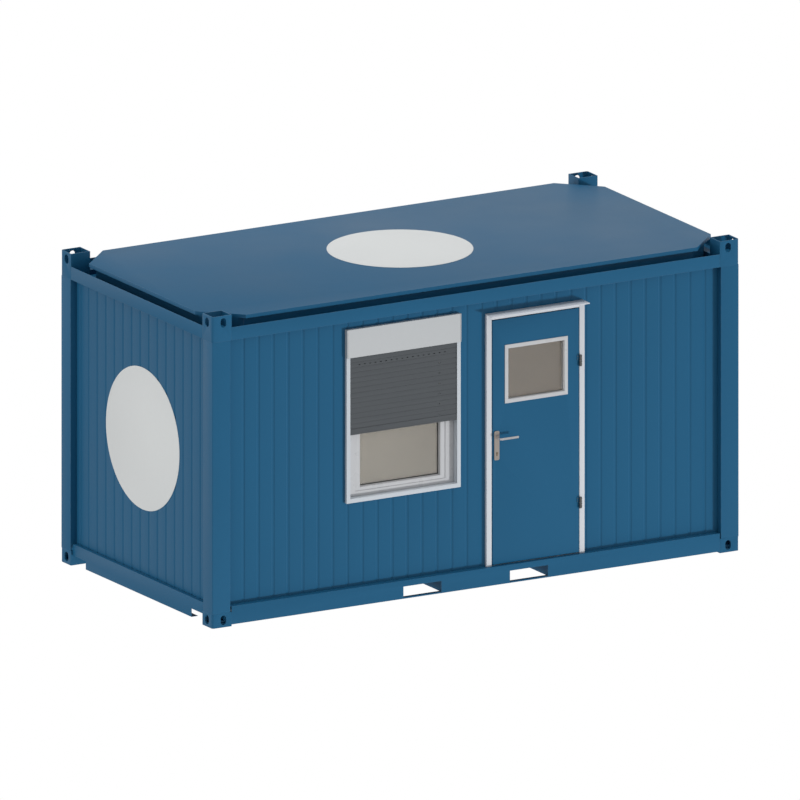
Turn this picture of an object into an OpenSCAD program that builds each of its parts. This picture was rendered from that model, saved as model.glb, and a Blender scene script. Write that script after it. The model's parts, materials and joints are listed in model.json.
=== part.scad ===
// Sixteen-foot site cabin: a folded-steel frame with container corners, insulated
// walls with grooved cladding, one window with a roller shutter, and one door that
// opens outwards. Origin: ground level, middle of the plan. +X runs along the long
// side, the door and window face -Y. Depths are counted inwards from the outer face.

/* [Overall] */
// Length over the corner castings
length = 4885; // [4700:5:6058]
// Depth over the corner castings
width = 2435; // [2000:5:3000]
// Height from the ground to the top of the corner blocks
height = 2591; // [2540:1:3200]

/* [Corner castings] */
// Size of a casting along the cabin
casting_l = 178; // [150:1:220]
// Size of a casting across the cabin
casting_w = 162; // [140:1:200]
// Height of a bottom casting
casting_h = 118; // [100:1:119]
// Thickness of the side walls of a bottom casting
casting_wall = 16; // [8:1:24]
// Thickness of the plate at the foot of a bottom casting
casting_plate = 28; // [16:1:30]
// Radius of the outer upright edge of castings and top blocks
edge_r = 20; // [8:1:30]
// Distance of a lock hole from the end of the cabin
lock_inset_x = 101.5; // [90:0.5:110]
// Distance of a lock hole from the side of the cabin
lock_inset_y = 89; // [80:0.5:95]
// Length of the lock slot under a casting
lock_slot_l = 124; // [100:1:130]
// Width of the lock slot under a casting
lock_slot_w = 63.5; // [50:0.5:70]
// Height of the side holes
side_hole_h = 79; // [60:1:85]
// Width of the side hole on the long side
side_hole_front = 51; // [40:1:63]
// Width of the side hole on the short end
side_hole_end = 63; // [40:1:63]
// Height of a top corner block
top_block_h = 213; // [180:1:230]
// Sheet thickness of a top corner block
top_block_wall = 8; // [4:1:12]
// Depth of the open socket in a top corner block
socket_depth = 118; // [100:1:140]

/* [Frame] */
// Sheet thickness of posts, rails and sills
frame_t = 4; // [2:0.5:6]
// Depth of the walls behind the outer faces of the frame
wall_recess = 58; // [40:1:80]
// Width of a corner post on the long side
post_l = 167; // [150:1:178]
// Width of a corner post on the short end
post_w = 152; // [140:1:162]
// How far the posts stand back from the casting faces
post_inset = 1; // [0:1:6]
// Radius of the outer upright edge of the posts
post_r = 8; // [6:1:20]
// Underside of the long floor rails
floor_rail_z0 = 14; // [5:1:20]
// Top of the long floor rails, level with the floor
floor_z = 165; // [160:1:200]
// Depth of the lower flange of the long floor rails
lower_flange = 60; // [30:1:80]
// How far the end sills stand back from the casting faces
sill_inset = 17; // [5:1:40]
// Height of the upstand of the end sills over the floor
sill_rise = 12; // [5:1:30]
// Underside of the deep middle of the end sills
sill_z0 = 13; // [5:1:20]
// Underside of the end sills beside the castings
sill_notch_z = 83; // [60:1:110]
// Distance of the deep middle of the end sills from the cabin's side
sill_notch = 368; // [250:1:500]
// Width of a forklift pocket
fork_w = 352; // [300:1:360]
// Bottom of the forklift pockets
fork_z0 = 24; // [20:1:40]
// Top of the forklift pockets
fork_z1 = 115; // [100:1:116]
// Distance between the middles of the forklift pockets
fork_spacing = 988; // [900:1:1100]
// Height of the floor crossmembers
crossmember_h = 60; // [40:1:80]
// Width of the floor crossmembers
crossmember_w = 40; // [30:1:60]
// Distance between the floor crossmembers
crossmember_pitch = 470; // [350:5:600]
// Thickness of the sheet under the floor
under_sheet_t = 3; // [1:0.5:4]

/* [Roof] */
// Height of the roof rails' outer face
roof_rail_h = 108; // [90:1:130]
// Height of the gutter floor over the underside of the roof rails
gutter_h = 46; // [30:1:60]
// Thickness of the ceiling lining
ceiling_t = 16; // [8:1:25]
// How far the roof skin lies under the top of the corner blocks
skin_drop = 38; // [20:1:60]
// Distance of the roof skin from the ends of the cabin
skin_inset_x = 50; // [30:1:80]
// Distance of the roof skin from the sides of the cabin
skin_inset_y = 66; // [30:1:80]
// Length of the cut at each corner of the roof skin
skin_chamfer = 300; // [260:1:400]
// Height of the turned-down lip of the roof skin
skin_lip = 31; // [20:1:45]
// Sheet thickness of the roof skin
skin_t = 3; // [1:0.5:5]
// Diameter of the round signs on the end wall and the roof
sign_d = 1180; // [600:10:1400]
// Thickness of the round signs
sign_t = 3; // [1:0.5:4]

/* [Walls] */
// Thickness of the insulated walls
wall_t = 60; // [45:1:80]
// Distance between the cladding grooves
groove_pitch = 138; // [100:1:200]
// Width of a groove at the face of the cladding
groove_w = 34; // [12:1:40]
// Width of the floor of a groove
groove_floor = 10; // [4:1:12]
// Depth of a groove
groove_d = 5; // [4:1:15]
// Shift of the grooves of the long walls from the middle of the cabin
groove_shift = -52; // [-69:1:69]
// Shift of the grooves of the end walls from the middle towards the back
end_groove_shift = 40; // [-69:1:69]

/* [Window] */
// Distance of the window's trim from the left end of the cabin
window_x = 1262; // [1000:1:1300]
// Underside of the window's trim
window_z = 864; // [700:1:900]
// Width over the window's trim
window_w = 1059; // [700:1:1150]
// Height over the trim and the shutter box
window_h = 1445; // [1200:1:1450]
// Width of the trim
trim_w = 35; // [25:1:50]
// How far the trim covers the edge of the wall opening
trim_cover = 20; // [10:1:23]
// How far the trim stands out from the wall
trim_proud = 28; // [25:1:40]
// Height of the shutter box
shutter_box_h = 236; // [180:1:300]
// How far the shutter box stands out from the wall
shutter_box_proud = 38; // [30:1:50]
// Thickness of the shutter curtain
curtain_t = 9; // [6:1:12]
// Drop of the shutter curtain under its box
curtain_drop = 645; // [200:5:900]
// Depth of the grooves that guide the shutter curtain
guide_depth = 12; // [8:1:15]
// Clearance of the shutter curtain in its guides
guide_gap = 1.5; // [1:0.5:3]
// How far the window frame lies behind the face of the trim
frame_setback = 53; // [45:1:60]
// Depth of the window frame
frame_depth = 60; // [50:1:70]
// Face width of the window frame at the sides
frame_side = 79; // [50:1:100]
// Face width of the window frame at top and bottom
frame_rail = 43; // [30:1:60]
// Face width of the sash at the sides and top
sash_side = 44; // [30:1:60]
// Face width of the sash at the bottom
sash_rail = 30; // [25:1:60]
// How far the sash lies behind the face of the window frame
sash_setback = 5; // [2:1:10]
// How far the glass lies behind the face of the window frame
glass_setback = 30; // [15:1:32]
// Thickness of the window's glazing unit
glass_t = 24; // [6:1:28]

/* [Door] */
// Distance of the door frame from the left end of the cabin
door_x = 2560; // [2420:1:2700]
// Width over the door frame
door_w = 910; // [750:1:1100]
// Top of the door frame
door_top_z = 2262; // [2000:1:2310]
// Face width of the door frame
jamb_w = 48; // [40:1:60]
// How far the door frame stands out from the wall
door_proud = 28; // [20:1:40]
// Edge of the door frame that covers the cut of the wall
door_cover = 15; // [8:1:25]
// How far the door stop reaches behind the leaf
stop_w = 14; // [12:1:20]
// Gap between the leaf and the frame at the hinges
hinge_gap = 6; // [5:0.5:8]
// Gap between the leaf and the frame at the lock, top and bottom
lock_gap = 8; // [8:0.5:12]
// Gap between the leaf and the stop behind it
stop_gap = 5; // [5:0.5:8]
// Thickness of the leaf
leaf_t = 40; // [35:1:60]
// Height of the threshold
threshold_h = 4; // [2:1:8]
// Height of the upstand of the threshold behind the leaf
threshold_stop = 14; // [10:1:30]
// Distance of the pane frame from the lock edge of the leaf
pane_x = 112; // [90:1:150]
// Underside of the pane frame over the floor
pane_z = 1339; // [1200:1:1400]
// Width over the pane frame
pane_w = 584; // [350:1:600]
// Height over the pane frame
pane_h = 486; // [300:1:600]
// Face width of the pane frame
pane_face = 33; // [25:1:45]
// Width of the pane frame's sleeve in the leaf
pane_sleeve = 11; // [6:1:15]
// How far the pane frame stands out from the leaf
pane_proud = 5; // [3:1:8]
// Thickness of the door's glass
pane_t = 8; // [4:1:12]
// How far the door's glass lies behind the outer face of the leaf
pane_setback = 27; // [15:1:27]

/* [Rain cap] */
// How far the rain cap reaches out from the wall
cap_reach = 110; // [60:1:130]
// Sheet thickness of the rain cap
cap_t = 3; // [2:0.5:4]
// Fall of the rain cap towards its front edge
cap_fall = 5; // [3:1:15]
// Height of the turned-down front edge of the rain cap
cap_lip = 8; // [5:1:20]

/* [Hinges and handle] */
// Height of the lower hinge's middle over the floor
hinge_low = 425; // [200:5:600]
// Height of the upper hinge's middle over the floor
hinge_high = 1607; // [1400:5:1850]
// Height of a hinge
hinge_h = 92; // [70:1:120]
// Radius of a hinge barrel
barrel_r = 11; // [9:0.5:14]
// Radius of a hinge pin
pin_r = 6; // [4:0.5:7]
// Radial clearance of the hinge pin and of the lever's neck
running_gap = 0.05; // [0.02:0.01:0.1]
// Distance of the hinge axis in front of the door frame
hinge_out = 12; // [12:0.5:16]
// Width of a hinge plate
hinge_plate_w = 24; // [18:1:30]
// Thickness of a hinge plate
hinge_plate_t = 3; // [2:0.5:4]
// Distance of the lock from the lock edge of the leaf
backset = 36; // [30:1:60]
// Height of the lever's axis over the floor
lever_height = 1065; // [950:5:1100]
// Distance of the lock cylinder under the lever's axis
cylinder_drop = 127; // [80:1:150]
// Width of a lock plate
plate_w = 48; // [40:1:60]
// Height of a lock plate
plate_h = 243; // [220:1:280]
// Distance of the lever's axis from the top of the lock plate
plate_over = 56; // [40:1:60]
// Thickness of a lock plate
plate_t = 8; // [4:1:10]
// Radius of the lever's neck
neck_r = 9; // [7:0.5:11]
// Reach of the lever's middle from the leaf
lever_reach = 69; // [50:1:70]
// Length of the lever from its axis
lever_l = 169; // [110:1:170]
// Radius of the lever's grip
grip_r = 8; // [6:0.5:10]
// Radius of the spindle that joins the two levers
spindle_r = 5; // [4:0.5:6]
// Radius of the round part of the lock cylinder
cylinder_r = 8.5; // [7:0.5:10]
// Height of the lock cylinder's profile
cylinder_h = 33; // [28:1:36]
// How far the lock cylinder stands out of a lock plate
cylinder_proud = 3; // [1:1:6]

/* [Hidden] */
$fn = 48;

// Colours
blue = [0.17, 0.36, 0.50];
light_blue = [0.30, 0.44, 0.54];
white = [0.82, 0.83, 0.84];
slate = [0.34, 0.35, 0.37];
steel = [0.66, 0.66, 0.66];
zinc = [0.55, 0.57, 0.58];
cream = [0.78, 0.74, 0.66];
pane = [0.60, 0.58, 0.54];

// How far a cutting body runs past the face that it cuts
past = 1;
// Height left free between stacked hinge knuckles
knuckle_gap = 0.3;
// Clearance of fixed parts in their holes
seat_gap = 0.3;

half_l = length / 2;
half_w = width / 2;
wall_in = wall_recess + wall_t;
roof_rail_z = height - top_block_h;
skin_z = height - skin_drop;
post_leg = wall_recess - post_inset;
under_sheet_z = fork_z1 + frame_t + 2;
deck_z = under_sheet_z + under_sheet_t;
side_hole_z = casting_h / 2;
sheet_edge = wall_recess + frame_t;

// Window, counted from the middle of the cabin
win_x0 = window_x - half_l;
win_x1 = win_x0 + window_w;
win_top = window_z + window_h;
box_z = win_top - shutter_box_h;
trim_y = wall_recess - trim_proud;
frame_y = trim_y + frame_setback;
opening_x0 = win_x0 + trim_w;
opening_x1 = win_x1 - trim_w;
opening_z = window_z + trim_w;
curtain_y = trim_y + 2 * guide_gap + 3;

// Door, counted from the middle of the cabin
door_x0 = door_x - half_l;
door_x1 = door_x0 + door_w;
door_y = wall_recess - door_proud;
stop_y = door_y + leaf_t + stop_gap;
leaf_x0 = door_x0 + jamb_w + lock_gap;
leaf_x1 = door_x1 - jamb_w - hinge_gap;
leaf_z0 = floor_z + threshold_h + hinge_gap;
leaf_z1 = door_top_z - jamb_w - lock_gap;
hinge_x = door_x1 - jamb_w + 3;
lever_x = leaf_x0 + backset;
lever_z = floor_z + lever_height;
lock_z = lever_z - cylinder_drop;
pane_x0 = leaf_x0 + pane_x;
pane_z0 = floor_z + pane_z;
pane_edge = pane_face - pane_sleeve;

// ---- Helpers -------------------------------------------------------------

module mirror_if(flag, v) {
    if (flag) mirror(v) children();
    else children();
}

// One copy in each corner, with +X and +Y running inwards from the outer corner
module at_corners() {
    for (sx = [-1, 1], sy = [-1, 1])
        translate([sx * half_l, sy * half_w, 0])
            mirror_if(sx > 0, [1, 0, 0])
                mirror_if(sy > 0, [0, 1, 0])
                    children();
}

// A block between two opposite corners, with its depth counted from the front
module slab(x0, x1, y0, y1, z0, z1) {
    translate([x0, y0 - half_w, z0]) cube([x1 - x0, y1 - y0, z1 - z0]);
}

// Runs a section along X: its x is the depth, its y is the height
module run_x(x0, x1) {
    translate([x0, -half_w, 0])
        rotate([90, 0, 90])
            linear_extrude(x1 - x0) children();
}

// Runs a section along Y: its x is the depth from the left end, its y the height
module run_y(y0, y1) {
    translate([-half_l, y1, 0])
        rotate([90, 0, 0])
            linear_extrude(y1 - y0) children();
}

// Rectangle with a round corner at the origin
module corner_plan(lx, ly, r) {
    translate([r, 0]) square([lx - r, ly]);
    translate([0, r]) square([lx, ly - r]);
    translate([r, r]) circle(r);
}

// Angle with a round corner at the origin
module angle_plan(lx, ly, d, r) {
    translate([r, 0]) square([lx - r, d]);
    translate([0, r]) square([d, ly - r]);
    translate([r, r]) circle(r);
}

// Slot along X, centred
module slot_plan(long, wide) {
    square([long - wide, wide], center = true);
    for (s = [-1, 1]) translate([s * (long - wide) / 2, 0]) circle(wide / 2);
}

// Upright side holes of a corner, at one height
module side_holes(z, wall) {
    translate([lock_inset_x, -past, z])
        rotate([-90, 0, 0])
            linear_extrude(wall + 2 * past)
                rotate(90) slot_plan(side_hole_h, side_hole_front);
    translate([-past, lock_inset_y, z])
        rotate([90, 0, 90])
            linear_extrude(wall + 2 * past)
                rotate(90) slot_plan(side_hole_h, side_hole_end);
}

// Rectangle about the middle with its corners cut at 45 degrees
module cut_plan(inset_x, inset_y, cut) {
    x = half_l - inset_x;
    y = half_w - inset_y;
    polygon([[-x + cut, -y], [x - cut, -y], [x, -y + cut], [x, y - cut],
        [x - cut, y], [-x + cut, y], [-x, y - cut], [-x, -y + cut]]);
}

// ---- Corners and posts ---------------------------------------------------

module bottom_casting() {
    difference() {
        linear_extrude(casting_h) corner_plan(casting_l, casting_w, edge_r);
        translate([casting_wall, casting_wall, casting_plate])
            cube([casting_l - 2 * casting_wall, casting_w - 2 * casting_wall,
                casting_h - casting_plate - casting_wall]);
        translate([lock_inset_x, lock_inset_y, -past])
            linear_extrude(casting_plate + 2 * past) slot_plan(lock_slot_l, lock_slot_w);
        side_holes(side_hole_z, casting_wall);
    }
}

module bottom_castings() {
    color(blue) at_corners() bottom_casting();
}

module top_block() {
    inner_l = casting_l - 2 * top_block_wall;
    inner_w = casting_w - 2 * top_block_wall;
    socket_z = top_block_h - socket_depth;
    difference() {
        linear_extrude(top_block_h) corner_plan(casting_l, casting_w, edge_r);
        translate([top_block_wall, top_block_wall, socket_z])
            cube([inner_l, inner_w, socket_depth + past]);
        translate([top_block_wall, top_block_wall, -past])
            cube([inner_l, inner_w, socket_z - top_block_wall + past]);
        side_holes(top_block_h - side_hole_z, top_block_wall);
    }
}

module top_blocks() {
    color(blue) translate([0, 0, roof_rail_z]) at_corners() top_block();
}

module corner_posts() {
    color(blue)
        at_corners()
            translate([post_inset, post_inset, casting_h])
                linear_extrude(roof_rail_z - casting_h)
                    difference() {
                        angle_plan(post_l - post_inset, post_w - post_inset, post_leg, post_r);
                        translate([frame_t, frame_t])
                            angle_plan(post_l - post_inset - 2 * frame_t,
                                post_w - post_inset - 2 * frame_t,
                                post_leg - 2 * frame_t, post_r - frame_t);
                    }
}

// ---- Floor frame ---------------------------------------------------------

module floor_rail() {
    difference() {
        run_x(-half_l + casting_l, half_l - casting_l)
            polygon([[0, floor_rail_z0], [lower_flange, floor_rail_z0],
                [lower_flange, floor_rail_z0 + frame_t], [frame_t, floor_rail_z0 + frame_t],
                [frame_t, floor_z - frame_t], [wall_in, floor_z - frame_t],
                [wall_in, floor_z], [0, floor_z]]);
        for (s = [-1, 1])
            translate([s * fork_spacing / 2 - fork_w / 2, -half_w - past, fork_z0])
                cube([fork_w, frame_t + 2 * past, fork_z1 - fork_z0]);
    }
}

module floor_rail_front() {
    color(blue) floor_rail();
}

module floor_rail_back() {
    color(blue) mirror([0, 1, 0]) floor_rail();
}

module end_sill() {
    y_end = half_w - casting_w;
    y_deep = half_w - sill_notch;
    top = floor_z + sill_rise;
    run_y(-y_end, y_end)
        polygon([[sill_inset, sill_notch_z], [sill_inset + frame_t, sill_notch_z],
            [sill_inset + frame_t, top - frame_t], [wall_recess, top - frame_t],
            [wall_recess, top], [sill_inset, top]]);
    run_y(-y_deep, y_deep)
        polygon([[sill_inset, sill_z0], [sill_inset + lower_flange, sill_z0],
            [sill_inset + lower_flange, sill_z0 + frame_t],
            [sill_inset + frame_t, sill_z0 + frame_t],
            [sill_inset + frame_t, sill_notch_z + past], [sill_inset, sill_notch_z + past]]);
}

module end_sills() {
    color(blue) {
        end_sill();
        mirror([1, 0, 0]) end_sill();
    }
}

module fork_tunnels() {
    outer = fork_w + 2 * frame_t;
    color(blue)
        for (s = [-1, 1])
            translate([s * fork_spacing / 2, -half_w + frame_t, 0])
                difference() {
                    translate([-outer / 2, 0, fork_z0])
                        cube([outer, width - 2 * frame_t, under_sheet_z - fork_z0]);
                    translate([-fork_w / 2, -past, fork_z0 - past])
                        cube([fork_w, width, under_sheet_z - frame_t - fork_z0 + past]);
                }
}

// A lipped channel that lies across the cabin
module crossmember() {
    inner_h = crossmember_h - 2 * frame_t;
    translate([-crossmember_w / 2, -half_w + frame_t, under_sheet_z - crossmember_h])
        difference() {
            cube([crossmember_w, width - 2 * frame_t, crossmember_h]);
            translate([frame_t, -past, frame_t]) cube([crossmember_w, width, inner_h]);
        }
}

module crossmembers() {
    first = (fork_spacing + fork_w + crossmember_w) / 2 + 50;
    last = half_l - casting_l - crossmember_w;
    color(zinc) {
        crossmember();
        for (x = [first : crossmember_pitch : last]) {
            translate([x, 0, 0]) crossmember();
            mirror([1, 0, 0]) translate([x, 0, 0]) crossmember();
        }
    }
}

module under_sheet() {
    color(zinc)
        slab(-half_l + sheet_edge, half_l - sheet_edge, sheet_edge, width - sheet_edge,
            under_sheet_z, deck_z);
}

module floor_deck() {
    color(slate)
        slab(-half_l + wall_recess, half_l - wall_recess, wall_in, width - wall_in,
            deck_z, floor_z);
}

// ---- Roof ----------------------------------------------------------------

// Folded rail with a gutter behind its outer face
module roof_rail_plan() {
    translate([0, roof_rail_z])
        difference() {
            union() {
                square([wall_in, gutter_h]);
                square([frame_t, roof_rail_h]);
            }
            translate([frame_t, frame_t])
                square([wall_in - 2 * frame_t, gutter_h - 2 * frame_t]);
        }
}

module roof_rail_front() {
    color(blue) run_x(-half_l + casting_l, half_l - casting_l) roof_rail_plan();
}

module roof_rail_back() {
    color(blue) mirror([0, 1, 0]) run_x(-half_l + casting_l, half_l - casting_l) roof_rail_plan();
}

module roof_rails_end() {
    color(blue)
        for (m = [false, true])
            mirror_if(m, [1, 0, 0]) run_y(-half_w + casting_w, half_w - casting_w) roof_rail_plan();
}

module ceiling() {
    color(white)
        slab(-half_l + wall_in, half_l - wall_in, wall_in, width - wall_in,
            roof_rail_z - ceiling_t, roof_rail_z);
}

module roof_core() {
    core_cut = skin_chamfer + skin_inset_x + skin_inset_y + 60 - 2 * wall_in;
    color(blue)
        translate([0, 0, roof_rail_z])
            linear_extrude(skin_z - skin_t - roof_rail_z) cut_plan(wall_in, wall_in, core_cut);
}

module roof_skin() {
    color(light_blue)
        difference() {
            translate([0, 0, skin_z - skin_lip])
                linear_extrude(skin_lip) cut_plan(skin_inset_x, skin_inset_y, skin_chamfer);
            translate([0, 0, skin_z - skin_lip - past])
                linear_extrude(skin_lip - skin_t + past)
                    cut_plan(skin_inset_x + skin_t, skin_inset_y + skin_t,
                        skin_chamfer - skin_t * (2 - sqrt(2)));
        }
}

module sign_discs() {
    color(white) {
        translate([0, 0, skin_z]) cylinder(h = sign_t, d = sign_d, $fn = 96);
        translate([-half_l + wall_recess - sign_t, 0, height / 2])
            rotate([0, 90, 0]) cylinder(h = sign_t, d = sign_d, $fn = 96);
    }
}

// ---- Walls ---------------------------------------------------------------

// Grooves to be cut from a wall face that lies along x at y = 0
module groove_plan(half_run, shift) {
    count = floor((half_run + abs(shift)) / groove_pitch);
    for (i = [-count : count])
        if (abs(i * groove_pitch + shift) < half_run - groove_w / 2)
            translate([i * groove_pitch + shift, 0])
                polygon([[-groove_w / 2, -past], [-groove_w / 2, 0],
                    [-groove_floor / 2, groove_d], [groove_floor / 2, groove_d],
                    [groove_w / 2, 0], [groove_w / 2, -past]]);
}

// Part of the front wall's plan between two places
module front_wall(x0, x1, z0, z1) {
    color(blue)
        translate([0, -half_w + wall_recess, z0])
            linear_extrude(z1 - z0)
                difference() {
                    translate([x0, 0]) square([x1 - x0, wall_t]);
                    groove_plan(half_l - wall_recess, groove_shift);
                }
}

module end_wall() {
    color(blue)
        translate([-half_l + wall_recess, 0, floor_z])
            linear_extrude(roof_rail_z - floor_z)
                difference() {
                    translate([0, -half_w + wall_in]) square([wall_t, width - 2 * wall_in]);
                    rotate(90) mirror([0, 1]) groove_plan(half_w - wall_in, end_groove_shift);
                }
}

wall_x = half_l - wall_recess;
hole_x0 = win_x0 + trim_cover;
hole_x1 = win_x1 - trim_cover;
hole_z0 = window_z + trim_cover;
hole_z1 = win_top - trim_cover;
doorway_x0 = door_x0 + door_cover;
doorway_x1 = door_x1 - door_cover;
doorway_z1 = door_top_z - door_cover;

module wall_back() {
    mirror([0, 1, 0]) front_wall(-wall_x, wall_x, floor_z, roof_rail_z);
}

module wall_left() {
    end_wall();
}

module wall_right() {
    mirror([1, 0, 0]) end_wall();
}

module wall_front_left() {
    front_wall(-wall_x, hole_x0, floor_z, roof_rail_z);
}

module wall_under_window() {
    front_wall(hole_x0, hole_x1, floor_z, hole_z0);
}

module wall_over_window() {
    front_wall(hole_x0, hole_x1, hole_z1, roof_rail_z);
}

module wall_front_middle() {
    front_wall(hole_x1, doorway_x0, floor_z, roof_rail_z);
}

module wall_over_door() {
    front_wall(doorway_x0, doorway_x1, doorway_z1, roof_rail_z);
}

module wall_front_right() {
    front_wall(doorway_x1, wall_x, floor_z, roof_rail_z);
}

// ---- Window --------------------------------------------------------------

module window_trim() {
    slot_y = curtain_y - guide_gap;
    slot_end = curtain_y + curtain_t + guide_gap;
    color(white)
        difference() {
            union() {
                slab(win_x0, win_x1, trim_y, wall_recess, window_z, box_z);
                slab(hole_x0, hole_x1, wall_recess, wall_in, hole_z0, box_z);
            }
            slab(opening_x0, opening_x1, 0, width, opening_z, height);
            slab(opening_x0 - guide_depth, opening_x1 + guide_depth, slot_y, slot_end,
                opening_z, height);
        }
}

module shutter_box() {
    box_back = frame_y + frame_depth;
    color(white) {
        slab(win_x0, win_x1, wall_recess - shutter_box_proud, wall_recess, box_z, win_top);
        slab(hole_x0, hole_x1, wall_recess - past, box_back, box_z, hole_z1);
    }
}

module shutter_curtain() {
    edge = guide_depth - guide_gap;
    color(slate)
        slab(opening_x0 - edge, opening_x1 + edge, curtain_y, curtain_y + curtain_t,
            box_z - curtain_drop, box_z);
}

module window_frame() {
    color(white)
        difference() {
            slab(opening_x0, opening_x1, frame_y, frame_y + frame_depth, opening_z, box_z);
            slab(opening_x0 + frame_side, opening_x1 - frame_side, 0, width,
                opening_z + frame_rail, box_z - frame_rail);
        }
}

module window_sash() {
    x0 = opening_x0 + frame_side;
    x1 = opening_x1 - frame_side;
    z0 = opening_z + frame_rail;
    z1 = box_z - frame_rail;
    glass_y = frame_y + glass_setback;
    color(white)
        difference() {
            slab(x0, x1, frame_y + sash_setback, frame_y + frame_depth, z0, z1);
            slab(x0 + sash_side, x1 - sash_side, 0, width, z0 + sash_rail, z1 - sash_side);
            slab(x0 + sash_side / 2, x1 - sash_side / 2, glass_y, glass_y + glass_t,
                z0 + sash_rail / 2, z1 - sash_side / 2);
        }
}

module window_glass() {
    glass_y = frame_y + glass_setback;
    color(pane)
        slab(opening_x0 + frame_side + sash_side / 2, opening_x1 - frame_side - sash_side / 2,
            glass_y, glass_y + glass_t,
            opening_z + frame_rail + sash_rail / 2, box_z - frame_rail - sash_side / 2);
}

// ---- Door frame ----------------------------------------------------------

// Plan of a jamb: x runs from its outer edge towards the doorway, y is the depth
module jamb_plan() {
    polygon([[0, door_y], [jamb_w, door_y], [jamb_w, stop_y], [jamb_w + stop_w, stop_y],
        [jamb_w + stop_w, wall_in], [door_cover, wall_in], [door_cover, wall_recess],
        [0, wall_recess]]);
}

module door_jambs() {
    color(white)
        difference() {
            translate([0, -half_w, floor_z])
                linear_extrude(door_top_z - floor_z) {
                    translate([door_x0, 0]) jamb_plan();
                    translate([door_x1, 0]) mirror([1, 0]) jamb_plan();
                }
            slab(door_x0 - past, door_x1 + past, wall_recess, wall_in + past,
                doorway_z1, door_top_z + past);
        }
}

module door_head() {
    inner = jamb_w + stop_w;
    color(white) {
        slab(door_x0 + jamb_w, door_x1 - jamb_w, door_y, wall_recess,
            door_top_z - jamb_w, door_top_z);
        slab(door_x0 + jamb_w, door_x1 - jamb_w, wall_recess - past, stop_y,
            door_top_z - jamb_w, doorway_z1);
        slab(door_x0 + inner, door_x1 - inner, stop_y - past, wall_in,
            door_top_z - inner, doorway_z1);
    }
}

module threshold() {
    inner = jamb_w + stop_w;
    color(steel) {
        slab(door_x0 + jamb_w, door_x1 - jamb_w, door_y + threshold_h, stop_y,
            floor_z, floor_z + threshold_h);
        slab(door_x0 + inner, door_x1 - inner, stop_y - past, wall_in,
            floor_z, floor_z + threshold_h);
        slab(door_x0 + inner, door_x1 - inner, stop_y, wall_in,
            floor_z, floor_z + threshold_stop);
    }
}

module rain_cap() {
    front = wall_recess - cap_reach;
    color(white)
        run_x(door_x0, door_x1)
            polygon([[wall_recess, door_top_z], [wall_recess, door_top_z + cap_t],
                [front, door_top_z + cap_t - cap_fall],
                [front, door_top_z + cap_t - cap_fall - cap_lip],
                [front + cap_t, door_top_z + cap_t - cap_fall - cap_lip],
                [front + cap_t, door_top_z - cap_fall], [door_y, door_top_z]]);
}

// ---- Hinges --------------------------------------------------------------

hinge_y = door_y - hinge_out;
half_hinge = (hinge_h - knuckle_gap) / 2;

module at_hinges() {
    for (z = [hinge_low, hinge_high])
        translate([hinge_x, hinge_y - half_w, floor_z + z]) children();
}

module frame_hinges() {
    color(steel)
        at_hinges() {
            translate([0, 0, -hinge_h / 2]) cylinder(h = half_hinge, r = barrel_r);
            translate([0, hinge_out - hinge_plate_t, -hinge_h / 2])
                cube([hinge_plate_w, hinge_plate_t, half_hinge]);
            translate([0, 0, -knuckle_gap]) cylinder(h = hinge_h / 2 - knuckle_gap, r = pin_r);
        }
}

module leaf_hinges() {
    color(steel)
        at_hinges()
            difference() {
                union() {
                    translate([0, 0, knuckle_gap / 2]) cylinder(h = half_hinge, r = barrel_r);
                    translate([-hinge_plate_w - hinge_gap, hinge_out - hinge_plate_t,
                        knuckle_gap / 2])
                        cube([hinge_plate_w + hinge_gap, hinge_plate_t, half_hinge]);
                }
                translate([0, 0, -past]) cylinder(h = hinge_h, r = pin_r + running_gap);
            }
}

// ---- Door leaf -----------------------------------------------------------

// Drills along Y between two depths
module drill(x, z, y0, y1) {
    translate([x, y0 - half_w, z]) rotate([-90, 0, 0]) linear_extrude(y1 - y0) children();
}

// Profile of the lock cylinder: a round barrel with a narrow foot under it
module cylinder_plan(gap) {
    foot = cylinder_r * 0.6 + gap;
    reach = cylinder_h - cylinder_r - foot;
    circle(cylinder_r + gap);
    translate([-foot, 0]) square([2 * foot, reach]);
    translate([0, reach]) circle(foot);
}

module door_leaf() {
    hole_x = pane_x0 + pane_edge;
    hole_z = pane_z0 + pane_edge;
    color(blue)
        difference() {
            slab(leaf_x0, leaf_x1, door_y, door_y + leaf_t, leaf_z0, leaf_z1);
            slab(hole_x, hole_x + pane_w - 2 * pane_edge, 0, width,
                hole_z, hole_z + pane_h - 2 * pane_edge);
            drill(lever_x, lever_z, door_y - past, door_y + leaf_t + past)
                circle(neck_r + 3);
            drill(lever_x, lock_z, door_y - past, door_y + leaf_t + past)
                cylinder_plan(seat_gap);
        }
}

// One half of the pane frame: a flange on the leaf and a sleeve towards the glass
module pane_ring(y_flange0, y_flange1, y_sleeve0, y_sleeve1) {
    edge = pane_edge;
    x1 = pane_x0 + pane_w;
    z1 = pane_z0 + pane_h;
    difference() {
        union() {
            slab(pane_x0, x1, y_flange0, y_flange1, pane_z0, z1);
            slab(pane_x0 + edge, x1 - edge, y_sleeve0, y_sleeve1, pane_z0 + edge, z1 - edge);
        }
        slab(pane_x0 + pane_face, x1 - pane_face, 0, width, pane_z0 + pane_face, z1 - pane_face);
    }
}

module pane_frames() {
    inner_face = door_y + leaf_t;
    glass_y = door_y + pane_setback;
    color(white) {
        pane_ring(door_y - pane_proud, door_y, door_y - past, glass_y);
        pane_ring(inner_face, inner_face + pane_proud, glass_y + pane_t, inner_face + past);
    }
}

module pane_glass() {
    glass_y = door_y + pane_setback;
    color(pane)
        slab(pane_x0 + pane_edge, pane_x0 + pane_w - pane_edge, glass_y, glass_y + pane_t,
            pane_z0 + pane_edge, pane_z0 + pane_h - pane_edge);
}

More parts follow.
